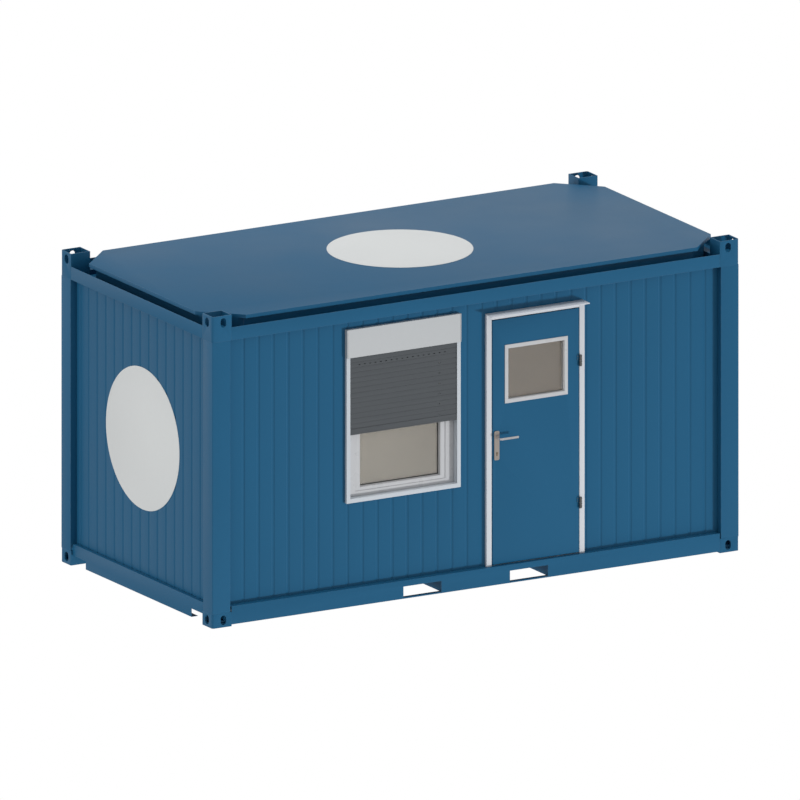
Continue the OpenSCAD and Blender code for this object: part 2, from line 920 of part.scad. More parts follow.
// Long plate with round ends, drilled for the lever's neck and the lock cylinder
module lock_plate(y0) {
    middle = lever_z + plate_over - plate_h / 2;
    difference() {
        drill(lever_x, middle, y0, y0 + plate_t) rotate(90) slot_plan(plate_h, plate_w);
        drill(lever_x, lever_z, y0 - past, y0 + plate_t + past) circle(neck_r + running_gap);
        drill(lever_x, lock_z, y0 - past, y0 + plate_t + past) cylinder_plan(seat_gap);
    }
}

module lock_plates() {
    color(steel) {
        lock_plate(door_y - plate_t);
        lock_plate(door_y + leaf_t);
    }
}

module lock_cylinder() {
    ends = plate_t + cylinder_proud;
    color(zinc) drill(lever_x, lock_z, door_y - ends, door_y + leaf_t + ends) cylinder_plan(0);
}

// ---- Lever handles -------------------------------------------------------

// Neck and grip on the front of the leaf, with the axis at the origin
module lever_arm() {
    rotate([90, 0, 0]) cylinder(h = lever_reach, r = neck_r);
    translate([0, -lever_reach, 0]) {
        sphere(r = neck_r);
        rotate([0, 90, 0]) cylinder(h = lever_l - grip_r, r = grip_r);
        translate([lever_l - grip_r, 0, 0]) sphere(r = grip_r);
    }
}

module outer_lever() {
    color(steel)
        translate([lever_x, door_y - half_w, lever_z]) {
            lever_arm();
            rotate([-90, 0, 0]) cylinder(h = leaf_t, r = spindle_r);
        }
}

module inner_lever() {
    color(steel)
        translate([lever_x, door_y + leaf_t - half_w, lever_z]) mirror([0, 1, 0]) lever_arm();
}

bottom_castings();
top_blocks();
corner_posts();
floor_rail_front();
floor_rail_back();
end_sills();
fork_tunnels();
crossmembers();
under_sheet();
floor_deck();
roof_rail_front();
roof_rail_back();
roof_rails_end();
ceiling();
roof_core();
roof_skin();
sign_discs();
wall_back();
wall_left();
wall_right();
wall_front_left();
wall_under_window();
wall_over_window();
wall_front_middle();
wall_over_door();
wall_front_right();
window_trim();
shutter_box();
shutter_curtain();
window_frame();
window_sash();
window_glass();
door_jambs();
door_head();
threshold();
rain_cap();
frame_hinges();
door_leaf();
leaf_hinges();
pane_frames();
pane_glass();
lock_plates();
lock_cylinder();
outer_lever();
inner_lever();
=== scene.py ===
# %% [markdown]
# # A site cabin with a window, a roller shutter and a door
# The real object is a folded-steel frame with container corners, grooved steel cladding
# outside, coated boards inside, a plastic window with a roller shutter, and a steel door.
# The CAD model already gives every size and place. Here each visible surface gets its real
# shape and finish: folded edges are rounded, sheets get their grooves, the shutter gets its
# slats, and the small fixings are spread by node trees.

import json
import math

import bmesh
import bpy
from mathutils import Matrix, Vector


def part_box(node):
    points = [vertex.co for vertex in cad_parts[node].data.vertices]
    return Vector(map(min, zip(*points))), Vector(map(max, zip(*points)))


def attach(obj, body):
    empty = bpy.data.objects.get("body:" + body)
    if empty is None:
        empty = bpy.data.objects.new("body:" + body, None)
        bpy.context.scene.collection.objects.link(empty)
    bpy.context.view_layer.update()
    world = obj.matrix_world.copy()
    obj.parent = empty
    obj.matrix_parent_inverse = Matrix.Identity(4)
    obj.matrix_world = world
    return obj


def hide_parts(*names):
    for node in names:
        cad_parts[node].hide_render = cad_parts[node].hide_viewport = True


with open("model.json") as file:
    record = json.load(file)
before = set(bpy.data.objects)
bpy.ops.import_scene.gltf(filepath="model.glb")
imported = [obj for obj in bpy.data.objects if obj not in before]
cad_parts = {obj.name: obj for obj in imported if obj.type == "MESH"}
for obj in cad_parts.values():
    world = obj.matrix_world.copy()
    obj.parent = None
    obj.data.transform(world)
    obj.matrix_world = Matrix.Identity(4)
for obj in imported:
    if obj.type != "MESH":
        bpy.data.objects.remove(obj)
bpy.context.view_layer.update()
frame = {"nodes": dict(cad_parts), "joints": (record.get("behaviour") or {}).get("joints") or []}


def short(values):
    """Numbers that are short enough to print."""
    return [round(value, 4) for value in values]


# %% [markdown]
# ## Sizes that the CAD gives
# Every place below comes from the box of a CAD node, so that a changed cabin keeps its
# details where they belong. MM turns a maker's millimetres into Blender's metres.

# %% Read the main planes of the cabin
MM = 0.001
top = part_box("top_blocks")[1].z
wall_low, wall_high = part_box("wall_back")
floor_z, wall_face = wall_low.z, wall_high.y
room = Vector((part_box("wall_left")[1].x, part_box("floor_deck")[0].y, floor_z))
ceiling_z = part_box("ceiling")[0].z
print("wall face", round(wall_face, 4), "room corner", short(room))

# %% [markdown]
# ## Writing node trees as sums
# Both shaders and geometry trees are graphs of nodes. Wiring them by hand is long to read,
# so one small class wraps a socket and lets Python's own operators add the Math nodes.
# Everything else comes from one method, which sets a node's settings before its sockets.


# %% A wire that does sums, and the graph that makes nodes
class Wire:
    """A node's output that Python can do sums with."""

    def __init__(self, graph, socket):
        self.graph, self.socket = graph, socket

    def __add__(self, other):
        return self.graph.sum("ADD", self, other)

    def __radd__(self, other):
        return self.graph.sum("ADD", other, self)

    def __sub__(self, other):
        return self.graph.sum("SUBTRACT", self, other)

    def __rsub__(self, other):
        return self.graph.sum("SUBTRACT", other, self)

    def __mul__(self, other):
        return self.graph.sum("MULTIPLY", self, other)

    def __rmul__(self, other):
        return self.graph.sum("MULTIPLY", other, self)

    def __truediv__(self, other):
        return self.graph.sum("DIVIDE", self, other)

    def __rtruediv__(self, other):
        return self.graph.sum("DIVIDE", other, self)


class Graph:
    """A node tree that is written as Python expressions."""

    def __init__(self, tree):
        self.tree = tree

    def node(self, kind, settings=None, values=None, output=0):
        """Adds a node: settings first, then a value or a Wire for each socket."""
        made = self.tree.nodes.new(kind)
        for key, value in (settings or {}).items():
            if key == "stops":
                self.set_stops(made.color_ramp, value)
            else:
                setattr(made, key, value)
        for key, value in (values or {}).items():
            socket = self.find(made.inputs, key)
            if isinstance(value, Wire):
                self.tree.links.new(value.socket, socket)
            else:
                socket.default_value = value
        return Wire(self, self.find(made.outputs, output))

    @staticmethod
    def find(sockets, key):
        """A socket by its place in the list, or by name among those in use."""
        if isinstance(key, int):
            return sockets[key]
        return next(s for s in sockets if s.name == key and s.enabled)

    @staticmethod
    def set_stops(ramp, stops):
        """Gives a colour ramp its stops, each a place and a colour."""
        while len(ramp.elements) < len(stops):
            ramp.elements.new(1.0)
        for element, (place, colour) in zip(ramp.elements, stops):
            element.position, element.color = place, colour

    def sum(self, operation, *terms):
        return self.node("ShaderNodeMath", {"operation": operation}, dict(enumerate(terms)))

    def fit(self, value, low, high, to_low=0.0, to_high=1.0, smooth=False):
        """Maps a value from one range to another and holds it there."""
        way = "SMOOTHSTEP" if smooth else "LINEAR"
        sockets = {0: value, 1: low, 2: high, 3: to_low, 4: to_high}
        return self.node("ShaderNodeMapRange", {"interpolation_type": way}, sockets)

    def mix(self, factor, first, second):
        """Blends two colours."""
        sockets = {"Factor": factor, "A": first, "B": second}
        return self.node("ShaderNodeMix", {"data_type": "RGBA"}, sockets, "Result")

    def noise(self, place, scale, detail=2.0):
        sockets = {"Vector": place, "Scale": scale, "Detail": detail}
        return self.node("ShaderNodeTexNoise", None, sockets, "Fac")


# %% [markdown]
# ## Starting a finish
# Each finish is one Principled shader. Numbers that are the same all over the surface, such
# as the metal share of a painted sheet, are set on its own sockets. What changes over the
# surface is worked out from Object coordinates, so that the pattern stays on the piece when
# the door swings. The EDGE attribute is 1 on rounded edges, which is where paint is thin.

# %% Make an empty finish
EDGE = "edge"
finishes = {}


class Finish(Graph):
    """A material with a Principled shader and Object coordinates ready to use."""

    def __init__(self, name, **constants):
        self.material = bpy.data.materials.new(name)
        self.material.use_nodes = True
        super().__init__(self.material.node_tree)
        self.shader = self.tree.nodes["Principled BSDF"]
        for socket, value in constants.items():
            self.shader.inputs[socket.replace("_", " ")].default_value = value
        self.place = self.node("ShaderNodeTexCoord", None, None, "Object")
        finishes[name] = self.material

    def edge(self):
        return self.node("ShaderNodeAttribute", {"attribute_name": EDGE}, None, "Fac")

    def stretched(self, x, y, z):
        """Object coordinates scaled apart, for a grain that runs one way."""
        return self.node("ShaderNodeMapping", None, {"Vector": self.place, "Scale": (x, y, z)})

    def show(self, socket, wire):
        self.tree.links.new(wire.socket, self.shader.inputs[socket])

    def bump(self, height, distance):
        sockets = {"Height": height, "Distance": distance, "Strength": 1.0}
        self.show("Normal", self.node("ShaderNodeBump", None, sockets))

    def cover(self, tone, one, two, rough, skin, depth):
        """Blends two colours, maps a roughness and raises a skin."""
        self.show("Base Color", self.mix(tone, one, two))
        self.show("Roughness", self.fit(*rough))
        self.bump(skin, depth)


def shade(colour, factor):
    """The same colour lighter or darker, as RGBA."""
    return tuple(min(1.0, channel * factor) for channel in colour) + (1.0,)


# %% [markdown]
# ## Painted steel
# The frame, cladding, door and roof carry one blue coat with a satin shine. A sprayed coat
# isn't flat: it has a fine orange-peel skin, its colour drifts a little from sheet to sheet,
# and it is thinner and slightly paler on folded edges. A noise of a few millimetres gives
# the skin through Bump, and a slow noise moves the colour and the shine.


# %% The painted finishes
PEEL_SCALE = 170.0


def painted(name, colour, roughness, drift=0.06, peel=0.00012, pale=0.35, shine=0.24):
    """Satin paint with orange peel, slow drift and thin edges."""
    coat = Finish(name, Roughness=roughness, Specular_IOR_Level=shine)
    slow = coat.noise(coat.place, 0.8, 3.0)
    fine = coat.noise(coat.place, 26.0, 4.0)
    cloud = coat.fit(slow + 0.35 * fine, 0.45, 0.9)
    body = coat.mix(cloud, shade(colour, 1 - drift), shade(colour, 1 + drift))
    thin = coat.edge() * coat.fit(fine, 0.42, 0.62, 0.15, 1.0) * pale
    primer = tuple(0.75 * channel + 0.13 for channel in colour) + (1.0,)
    rough = (slow, 0.3, 0.7, roughness - 0.05, roughness + 0.06)
    coat.cover(thin, body, primer, rough, coat.noise(coat.place, PEEL_SCALE, 1.0), peel)


GENTIAN = (0.012, 0.0985, 0.202)
ROOF_BLUE = (0.008, 0.090, 0.190)
SIGNAL_WHITE = (0.60, 0.625, 0.665)
painted("frame_paint", GENTIAN, 0.36, drift=0.03)
painted("cladding_paint", GENTIAN, 0.38, drift=0.025)
painted("door_paint", GENTIAN, 0.36, drift=0.02)
painted("roof_paint", ROOF_BLUE, 0.40, drift=0.05, shine=0.3)
painted("white_trim", SIGNAL_WHITE, 0.42, drift=0.015, pale=0.1, shine=0.4)
painted("cover_white", (0.49, 0.51, 0.525), 0.45, drift=0.015, pale=0.1, shine=0.4)
painted("trim_white", (0.54, 0.585, 0.63), 0.45, drift=0.015, pale=0.1, shine=0.4)
painted("sign_white", (0.66, 0.68, 0.68), 0.45, drift=0.02, pale=0.1, shine=0.4)
print(len(finishes), "painted finishes")

# %% [markdown]
# ## Plastic, rubber and glass
# Window profiles are extruded plastic: smoother than paint, with hardly any skin. Seals are
# matt black rubber. The panes are see-through, so that the room shows faintly behind them,
# and a light film of dust changes how sharp their reflections are. Their base colour is a
# warm beige, which is painted light of the lit room behind them; the door's pane has darker
# tones, which are painted shade.

# %% Plastic and rubber
plastic = Finish("white_plastic", Roughness=0.3, Specular_IOR_Level=0.5)
yellowing = plastic.noise(plastic.place, 2.0, 3.0)
tones = ((0.50, 0.51, 0.53, 1.0), (0.54, 0.55, 0.565, 1.0))
rough = (plastic.noise(plastic.place, 9.0), 0.3, 0.7, 0.24, 0.36)
drawn = plastic.noise(plastic.stretched(300.0, 300.0, 40.0), 1.0)
plastic.cover(yellowing, *tones, rough, drawn, 0.00003)

rubber = Finish("seal_rubber", Roughness=0.7)
bloom = rubber.noise(rubber.place, 30.0, 3.0)
rubber.show("Base Color", rubber.mix(bloom, (0.012, 0.012, 0.013, 1.0), (0.03, 0.03, 0.031, 1.0)))
rubber.bump(rubber.noise(rubber.place, 900.0), 0.00005)

# %% Glass
def panes_of(name, thin, thick):
    """See-through glass whose two tones, blended by a film of dust, are painted room light."""
    glass = Finish(name, Roughness=0.06, IOR=1.5)
    film = glass.noise(glass.place, 1.6, 4.0)
    glass.show("Base Color", glass.mix(film, (*thin, 1.0), (*thick, 1.0)))
    glass.show("Roughness", glass.fit(film, 0.35, 0.7, 0.03, 0.12))
    glass.shader.inputs["Alpha"].default_value = 0.45
    print(name, "lets through", round(1 - glass.shader.inputs["Alpha"].default_value, 2))


# The warm tones of the window's panes are painted room light; the door's darker pair is painted
# shade.
panes_of("glass", (0.31, 0.295, 0.265), (0.38, 0.365, 0.33))
panes_of("door_glass", (0.15, 0.143, 0.138), (0.20, 0.19, 0.18))

# %% [markdown]
# ## Bare metals
# Rolled and brushed metals show lines along the way they were worked, which are noise
# stretched along one axis. Hot-dip zinc freezes into flat crystals, each with its own
# brightness, which is what Voronoi cells look like.


# %% The metal finishes
def brushed(name, colour, roughness, along, depth=0.00004):
    """Bare metal with fine lines: `along` scales the noise apart on each axis."""
    metal = Finish(name, Metallic=1.0, Roughness=roughness)
    lines = metal.noise(metal.stretched(*along), 1.0, 4.0)
    hand = metal.noise(metal.place, 14.0, 3.0)
    tone = metal.fit(lines * 0.7 + hand * 0.3, 0.3, 0.7)
    rough = (tone, 0.0, 1.0, roughness - 0.07, roughness + 0.08)
    metal.cover(tone, shade(colour, 0.86), shade(colour, 1.1), rough, lines, depth)


brushed("bare_aluminium", (0.55, 0.56, 0.57), 0.42, (12.0, 900.0, 900.0))
# The hinge steel is very dark: painted shade and dark reflection on the barrels, also used on the
# hinge screws.
brushed("hinge_steel", (0.19, 0.185, 0.18), 0.32, (700.0, 700.0, 30.0))
brushed("handle_steel", (0.58, 0.52, 0.47), 0.33, (700.0, 700.0, 24.0), 0.00002)
# The levers' steel is the plates' steel made lighter: a painted highlight of the round bar.
brushed("lever_steel", (0.74, 0.72, 0.73), 0.3, (700.0, 24.0, 700.0), 0.00002)
brushed("cylinder_brass", (0.34, 0.27, 0.19), 0.36, (900.0, 900.0, 900.0), 0.00001)

zinc = Finish("zinc", Metallic=1.0, Roughness=0.45)
crystal = zinc.node(
    "ShaderNodeTexVoronoi", None, {"Vector": zinc.place, "Scale": 55.0}, "Color"
)
spangle = zinc.node("ShaderNodeSeparateColor", None, {0: crystal})
tones = ((0.34, 0.36, 0.37, 1.0), (0.52, 0.54, 0.55, 1.0))
rough = (spangle, 0.0, 1.0, 0.36, 0.55)
zinc.cover(spangle, *tones, rough, zinc.noise(zinc.place, 60.0), 0.00008)

# %% [markdown]
# ## Shutter, boards and floor
# The slats are aluminium with a baked grey coat. Inside, the walls and the ceiling are
# coated boards with a warm tone, and the floor is a sheet of speckled vinyl.

# %% Slat, lining and floor finishes
slat_coat = Finish("shutter_slats", Roughness=0.45, Specular_IOR_Level=0.35)
streak = slat_coat.noise(slat_coat.stretched(1.5, 1.5, 60.0), 1.0, 3.0)
tones = ((0.069, 0.077, 0.085, 1.0), (0.086, 0.095, 0.104, 1.0))
drawn = slat_coat.noise(slat_coat.stretched(20.0, 500.0, 500.0), 1.0)
slat_coat.cover(streak, *tones, (streak, 0.3, 0.7, 0.38, 0.52), drawn, 0.00004)

board = Finish("lining", Roughness=0.5)
mottle = board.noise(board.place, 1.2, 4.0)
tones = ((0.60, 0.55, 0.48, 1.0), (0.66, 0.61, 0.54, 1.0))
rough = (mottle, 0.3, 0.7, 0.44, 0.56)
board.cover(mottle, *tones, rough, board.noise(board.place, 240.0, 3.0), 0.00008)

vinyl = Finish("floor_board", Roughness=0.5)
flakes = vinyl.node("ShaderNodeTexVoronoi", None, {"Vector": vinyl.place, "Scale": 180.0}, "Color")
flake = vinyl.node("ShaderNodeSeparateColor", None, {0: flakes})
speckle = [
    (0.0, (0.10, 0.11, 0.12, 1.0)),
    (0.55, (0.13, 0.14, 0.15, 1.0)),
    (0.8, (0.19, 0.20, 0.21, 1.0)),
    (1.0, (0.30, 0.31, 0.31, 1.0)),
]
vinyl.show("Base Color", vinyl.node("ShaderNodeValToRGB", {"stops": speckle}, {0: flake}))
vinyl.show("Roughness", vinyl.fit(vinyl.noise(vinyl.place, 3.0), 0.3, 0.7, 0.42, 0.58))
vinyl.bump(vinyl.noise(vinyl.place, 150.0, 2.0), 0.0001)
print(len(finishes), "finishes")

# %% [markdown]
# ## From a mesh to a finished piece
# A finished piece is a plain mesh: its modifiers are evaluated and left out, its place is in
# its points, and it rides on the CAD body it belongs to. One helper does that for all, so a
# piece never keeps a live modifier by mistake.


# %% Helpers that finish a piece
def new_object(name, mesh):
    made = bpy.data.objects.new(name, mesh)
    bpy.context.scene.collection.objects.link(made)
    return made


def settle(rough, name):
    """A plain mesh object from an object with modifiers, which is removed."""
    graph = bpy.context.evaluated_depsgraph_get()
    mesh = bpy.data.meshes.new_from_object(rough.evaluated_get(graph), depsgraph=graph)
    bpy.data.objects.remove(rough)
    mesh.name = name
    return new_object(name, mesh)


def place_piece(piece, finish, body, nodes=()):
    """Gives a piece its finish and its body, and hides the CAD nodes that it replaces."""
    piece.data.materials.clear()
    piece.data.materials.append(finishes[finish])
    for face in piece.data.polygons:
        face.material_index = 0
    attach(piece, body)
    if nodes:
        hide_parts(*nodes)
    return piece


def mesh_of(work, name):
    """Ends a bmesh in a new mesh."""
    mesh = bpy.data.meshes.new(name)
    work.to_mesh(mesh)
    work.free()
    return mesh


def joined(name, pieces):
    """One object from several plain mesh objects."""
    work = bmesh.new()
    for piece in pieces:
        work.from_mesh(piece.data)
        bpy.data.objects.remove(piece)
    return new_object(name, mesh_of(work, name))


def smoothed(piece, degrees):
    """Shades a piece smooth, except over edges sharper than an angle."""
    piece.data.shade_smooth()
    piece.data.set_sharp_from_angle(angle=math.radians(degrees))
    return piece


# %% [markdown]
# ## Rounding the edges of folded and cast steel
# No real edge is sharp: a folded sheet has a radius of about its own thickness, and a cast
# corner much more. The CAD solid gives the exact shape with sharp edges, so a copy of it is
# merged into one skin and bevelled. The bevel's faces are marked in the EDGE attribute.


# %% Copy CAD nodes with rounded edges
MERGE = 0.00001


def merged(nodes):
    """One mesh of whole faces from the loose triangles of CAD nodes."""
    whole = bmesh.new()
    for node in nodes:
        part = bmesh.new()
        part.from_mesh(frame["nodes"][node].data)
        bmesh.ops.remove_doubles(part, verts=part.verts, dist=MERGE)
        bmesh.ops.dissolve_limit(
            part, angle_limit=math.radians(0.5), verts=part.verts, edges=part.edges
        )
        spare = mesh_of(part, "spare")
        whole.from_mesh(spare)
        bpy.data.meshes.remove(spare)
    mesh = mesh_of(whole, nodes[0])
    mesh.materials.clear()
    return mesh


def bevel_edges(rough, radius, segments):
    """Adds a bevel that marks its own faces with the second material slot."""
    rough.data.materials.append(None)
    rough.data.materials.append(None)
    rough.data.shade_smooth()
    bevel = rough.modifiers.new("edges", "BEVEL")
    bevel.width, bevel.segments = radius, segments
    bevel.limit_method, bevel.angle_limit = "ANGLE", math.radians(30)
    bevel.harden_normals, bevel.material = True, 1


def mark_edges(piece):
    """Stores which faces came from the bevel in the EDGE attribute."""
    layer = piece.data.attributes.new(EDGE, "FLOAT", "FACE")
    marks = [float(face.material_index == 1) for face in piece.data.polygons]
    layer.data.foreach_set("value", marks)


def rounded(rough, radius, segments=2):
    """The same piece with its sharp edges rounded and marked."""
    name = rough.name
    rough.name = "rough"
    bevel_edges(rough, radius, segments)
    piece = settle(rough, name)
    mark_edges(piece)
    return piece


def softened(name, nodes, radius, segments=2):
    """CAD nodes as one piece with every sharp edge rounded to a radius in mm."""
    return rounded(new_object(name, merged(nodes)), radius * MM, segments)


# %% [markdown]
# ## The steel frame
# Castings at the foot of the posts are thick cast steel with round, slightly rough edges.
# The blocks on top, the posts, the rails and the sills are folded from sheet, so they get a
# small radius. Each keeps the place of its CAD node.

# %% Frame pieces from the CAD nodes
FRAME_PIECES = [
    ("cast_corners", ["bottom_castings"], 4.0, 3, "frame_paint"),
    ("corner_blocks", ["top_blocks"], 2.5, 3, "frame_paint"),
    ("posts", ["corner_posts"], 2.5, 2, "frame_paint"),
    ("long_floor_rails", ["floor_rail_front", "floor_rail_back"], 1.8, 2, "frame_paint"),
    ("sills", ["end_sills"], 1.8, 2, "frame_paint"),
    ("fork_pockets", ["fork_tunnels"], 1.5, 2, "frame_paint"),
    ("floor_beams", ["crossmembers"], 1.5, 2, "zinc"),
    ("long_roof_rails", ["roof_rail_front", "roof_rail_back"], 1.8, 2, "frame_paint"),
    ("end_roof_rails", ["roof_rails_end"], 1.8, 2, "frame_paint"),
    ("roof_filling", ["roof_core"], 4.0, 2, "frame_paint"),
    ("roof_sheet", ["roof_skin"], 1.4, 2, "roof_paint"),
]
for name, nodes, radius, segments, finish in FRAME_PIECES:
    made = place_piece(softened(name, nodes, radius, segments), finish, "cabin", nodes)
    print(name, len(made.data.polygons), "faces")

# %% [markdown]
# ## A tree for grooved cladding
# The cladding is one thin sheet, rolled with a shallow groove every hand's width. It could
# be cut from a block, but a sheet whose points follow a rule is closer to how it is made: a
# grid has a bundle of columns for each groove, and each point sinks by how close it is to
# the nearest groove. Columns past the sheet's ends are held at the end, so a sheet can start
# and stop anywhere, also within a groove.

# %% Helpers that build and run a geometry tree
class Tree(Graph):
    """A geometry tree with a Finish and other inputs, whose names are listed by kind."""

    def __init__(self, name, **kinds):
        super().__init__(bpy.data.node_groups.new(name, "GeometryNodeTree"))
        face = self.tree.interface
        face.new_socket("Geometry", in_out="INPUT", socket_type="NodeSocketGeometry")
        face.new_socket("Geometry", in_out="OUTPUT", socket_type="NodeSocketGeometry")
        for kind, keys in {**kinds, "Material": ["Finish"]}.items():
            for key in keys:
                face.new_socket(key, in_out="INPUT", socket_type="NodeSocket" + kind)
        self.inputs = self.tree.nodes.new("NodeGroupInput")
        self.result = self.tree.nodes.new("NodeGroupOutput")

    def get(self, key):
        return Wire(self, self.inputs.outputs[key])

    def close(self, geometry):
        """Ends the tree in real, finished geometry."""
        real = self.node("GeometryNodeRealizeInstances", None, {0: geometry})
        finish = {"Geometry": real, "Material": self.get("Finish")}
        dressed = self.node("GeometryNodeSetMaterial", None, finish)
        self.tree.links.new(dressed.socket, self.result.inputs[0])


def grow(tree, name, sizes, base=None, thickness=0.0, rounding=0.0):
    """Runs a tree on a base mesh and gives back the plain object."""
    rough = new_object("rough", base or bpy.data.meshes.new("rough"))
    run = rough.modifiers.new("tree", "NODES")
    run.node_group = tree.tree
    for item in tree.tree.interface.items_tree:
        if item.in_out == "INPUT" and item.name in sizes:
            run[item.identifier] = sizes[item.name]
    if thickness:
        sheet = rough.modifiers.new("sheet", "SOLIDIFY")
        sheet.thickness, sheet.offset = thickness, -1.0
    if rounding:
        bevel = rough.modifiers.new("edges", "BEVEL")
        bevel.width, bevel.segments = rounding, 2
        bevel.limit_method, bevel.harden_normals = "ANGLE", True
    return settle(rough, name)


# %% The tree of the grooved sheet
COLUMNS = 15
LEAD = 0.001
g = groove_tree = Tree(
    "grooved_sheet",
    Float=["Length", "Height", "Pitch", "Groove width", "Groove floor", "Depth", "First groove"],
)
length, pitch = g.get("Length"), g.get("Pitch")
pitches = g.sum("CEIL", length / pitch) + 2
grid = g.node(
    "GeometryNodeMeshGrid", None, {"Vertices X": pitches * COLUMNS, "Vertices Y": 2}
)
index = g.node("GeometryNodeInputIndex")
column = g.sum("FLOOR", index / 2 + 0.25)
row = index - column * 2
bundle = g.sum("FLOOR", (column + 0.5) / COLUMNS)
across = (column - bundle * COLUMNS) / (COLUMNS - 1) - 0.5
spot = g.get("First groove") + (bundle - 1) * pitch
spot = spot + across * (g.get("Groove width") + 2 * LEAD)
along = g.sum("MINIMUM", g.sum("MAXIMUM", spot, 0.0), length)
nearest = g.sum("PINGPONG", along - g.get("First groove"), pitch / 2)
sink = g.fit(
    nearest, g.get("Groove floor") / 2, g.get("Groove width") / 2, g.get("Depth"), 0.0, True
)
point = g.node("ShaderNodeCombineXYZ", None, {0: along, 1: sink, 2: row * g.get("Height")})
shaped = g.node("GeometryNodeSetPosition", None, {"Geometry": grid, "Position": point})
welded = g.node("GeometryNodeMergeByDistance", None, {"Geometry": shaped, "Distance": 0.00002})
g.close(g.node("GeometryNodeSetShadeSmooth", None, {"Geometry": welded}))
print("grooved sheet tree has", len(g.tree.nodes), "nodes")


# %% Measure the grooves of the CAD walls
SAME = 0.05 * MM
DEEPEST, WIDEST_FLOOR = 30 * MM, 20 * MM


def groove_rule(node, axis, face):
    """Pitch, widths, depth and one groove's middle, read from a CAD wall's points."""
    corners = [vertex.co for vertex in frame["nodes"][node].data.vertices]
    points = {(round(co[axis], 4), abs(round(co[1 - axis], 4) - face)) for co in corners}
    outer = sorted({a for a, depth in points if depth < SAME})
    inner = max(depth for a, depth in points if 1 * MM < depth < DEEPEST)
    floors = sorted({a for a, depth in points if abs(depth - inner) < SAME})
    whole = [(a, b) for a, b in zip(floors, floors[1:]) if b - a < WIDEST_FLOOR]
    middles = [(a + b) / 2 for a, b in whole]
    lips = [min(x for x in outer if x > m) - m for m in middles if any(x > m for x in outer)]
    return {
        "Pitch": middles[1] - middles[0],
        "Groove width": 2 * min(lips),
        "Groove floor": whole[0][1] - whole[0][0],
        "Depth": inner,
        "middle": middles[0],
    }


long_rule = groove_rule("wall_back", 0, wall_face)
end_rule = groove_rule("wall_left", 1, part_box("wall_left")[0].x)
print("grooves", {key: round(value, 4) for key, value in long_rule.items()})

# %% [markdown]
# ## Hanging the sheets on the walls
# A sheet is grown lying along +X with its face to -Y, then turned about the upright axis
# onto its wall. The front wall is made of six sheets round the window and the door.


# %% The four walls of cladding
SHEET = 1.0 * MM
SOFT_GROOVE = math.radians(40)


def spans_of(nodes, spin):
    """The start, end, foot and head of nodes, seen with their wall turned to the front."""
    for node in nodes:
        a, b = (spin.inverted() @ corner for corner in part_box(node))
        yield min(a.x, b.x), max(a.x, b.x), a.z, b.z


def clad(name, nodes, rule, turn, face):
    """Sheets for one wall. `turn` is the wall's turn about Z, `face` its distance out."""
    sheets = []
    spin = Matrix.Rotation(turn, 4, "Z")
    middle = (spin.inverted() @ Vector((rule["middle"], rule["middle"], 0))).x
    for start, end, foot, head in spans_of(nodes, spin):
        sizes = {key: value for key, value in rule.items() if key != "middle"}
        sizes.update(
            {
                "Length": end - start,
                "Height": head - foot,
                "First groove": (middle - start) % rule["Pitch"],
                "Finish": finishes["cladding_paint"],
            }
        )
        sheet = grow(groove_tree, "sheet", sizes, thickness=SHEET)
        sheet.data.transform(spin @ Matrix.Translation((start, -face, foot)))
        sheets.append(sheet)
    wall = joined(name, sheets)
    wall.data.set_sharp_from_angle(angle=SOFT_GROOVE)
    print(name, len(wall.data.polygons), "faces in", len(nodes), "sheets")
    return place_piece(wall, "cladding_paint", "cabin", nodes)


FRONT = [
    "wall_front_left",
    "wall_under_window",
    "wall_over_window",
    "wall_front_middle",
    "wall_over_door",
    "wall_front_right",
]
clad("front_cladding", FRONT, long_rule, 0.0, wall_face)
clad("back_cladding", ["wall_back"], long_rule, math.pi, wall_face)
end_face = -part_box("wall_left")[0].x
clad("left_cladding", ["wall_left"], end_rule, -math.pi / 2, end_face)
clad("right_cladding", ["wall_right"], end_rule, math.pi / 2, end_face)

# %% [markdown]
# ## Coated boards inside
# Inside, the walls and the ceiling are lined with boards about a metre wide that meet with
# a narrow joint. A tree lays one row of them: it shares the length out evenly, so that no
# narrow strip is left over, and puts a board on each point of a line.

# %% The tree of the board row
BOARD_SIZES = ["Length", "Height", "Thickness", "Board width", "Gap"]
b = board_tree = Tree("board_row", Float=BOARD_SIZES)
boards = b.sum("MAXIMUM", b.sum("ROUND", b.get("Length") / b.get("Board width")), 1.0)
width = b.get("Length") / boards
thick, tall = b.get("Thickness"), b.get("Height")
size = b.node("ShaderNodeCombineXYZ", None, {0: width - b.get("Gap"), 1: thick, 2: tall})
first = b.node("ShaderNodeCombineXYZ", None, {0: width / 2, 1: thick / -2, 2: tall / 2})
stride = b.node("ShaderNodeCombineXYZ", None, {0: width})
line = {"Count": boards, "Start Location": first, "Offset": stride}
spots = b.node("GeometryNodeMeshLine", {"mode": "OFFSET"}, line)
plank = b.node("GeometryNodeMeshCube", None, {"Size": size})
b.close(b.node("GeometryNodeInstanceOnPoints", None, {"Points": spots, "Instance": plank}))

# %% Line the walls and the ceiling
BOARD = {"Board width": 1.04, "Gap": 1.6 * MM, "Finish": finishes["lining"]}
BOARD_T = 10 * MM
EDGE_R = 1.2 * MM


def board_row(length, height, thickness, **more):
    """One row of boards along +X with its back at y = 0 and its face to -Y."""
    sizes = {"Length": length, "Height": height, "Thickness": thickness, **BOARD, **more}
    return grow(board_tree, "boards", sizes, rounding=EDGE_R)


def line_wall(name, nodes, turn, face, half_room):
    """Boards on the room side of one wall, cut round its openings."""
    spin = Matrix.Rotation(turn, 4, "Z")
    rows = []
    for start, end, foot, head in spans_of(nodes, spin):
        start, end = max(start, -half_room), min(end, half_room)
        row = board_row(end - start, min(head, ceiling_z) - foot, BOARD_T)
        row.data.transform(spin @ Matrix.Translation((start, -face, foot)))
        rows.append(row)
    piece = joined(name, rows)
    print(name, len(rows), "rows of boards")
    return place_piece(piece, "lining", "cabin")


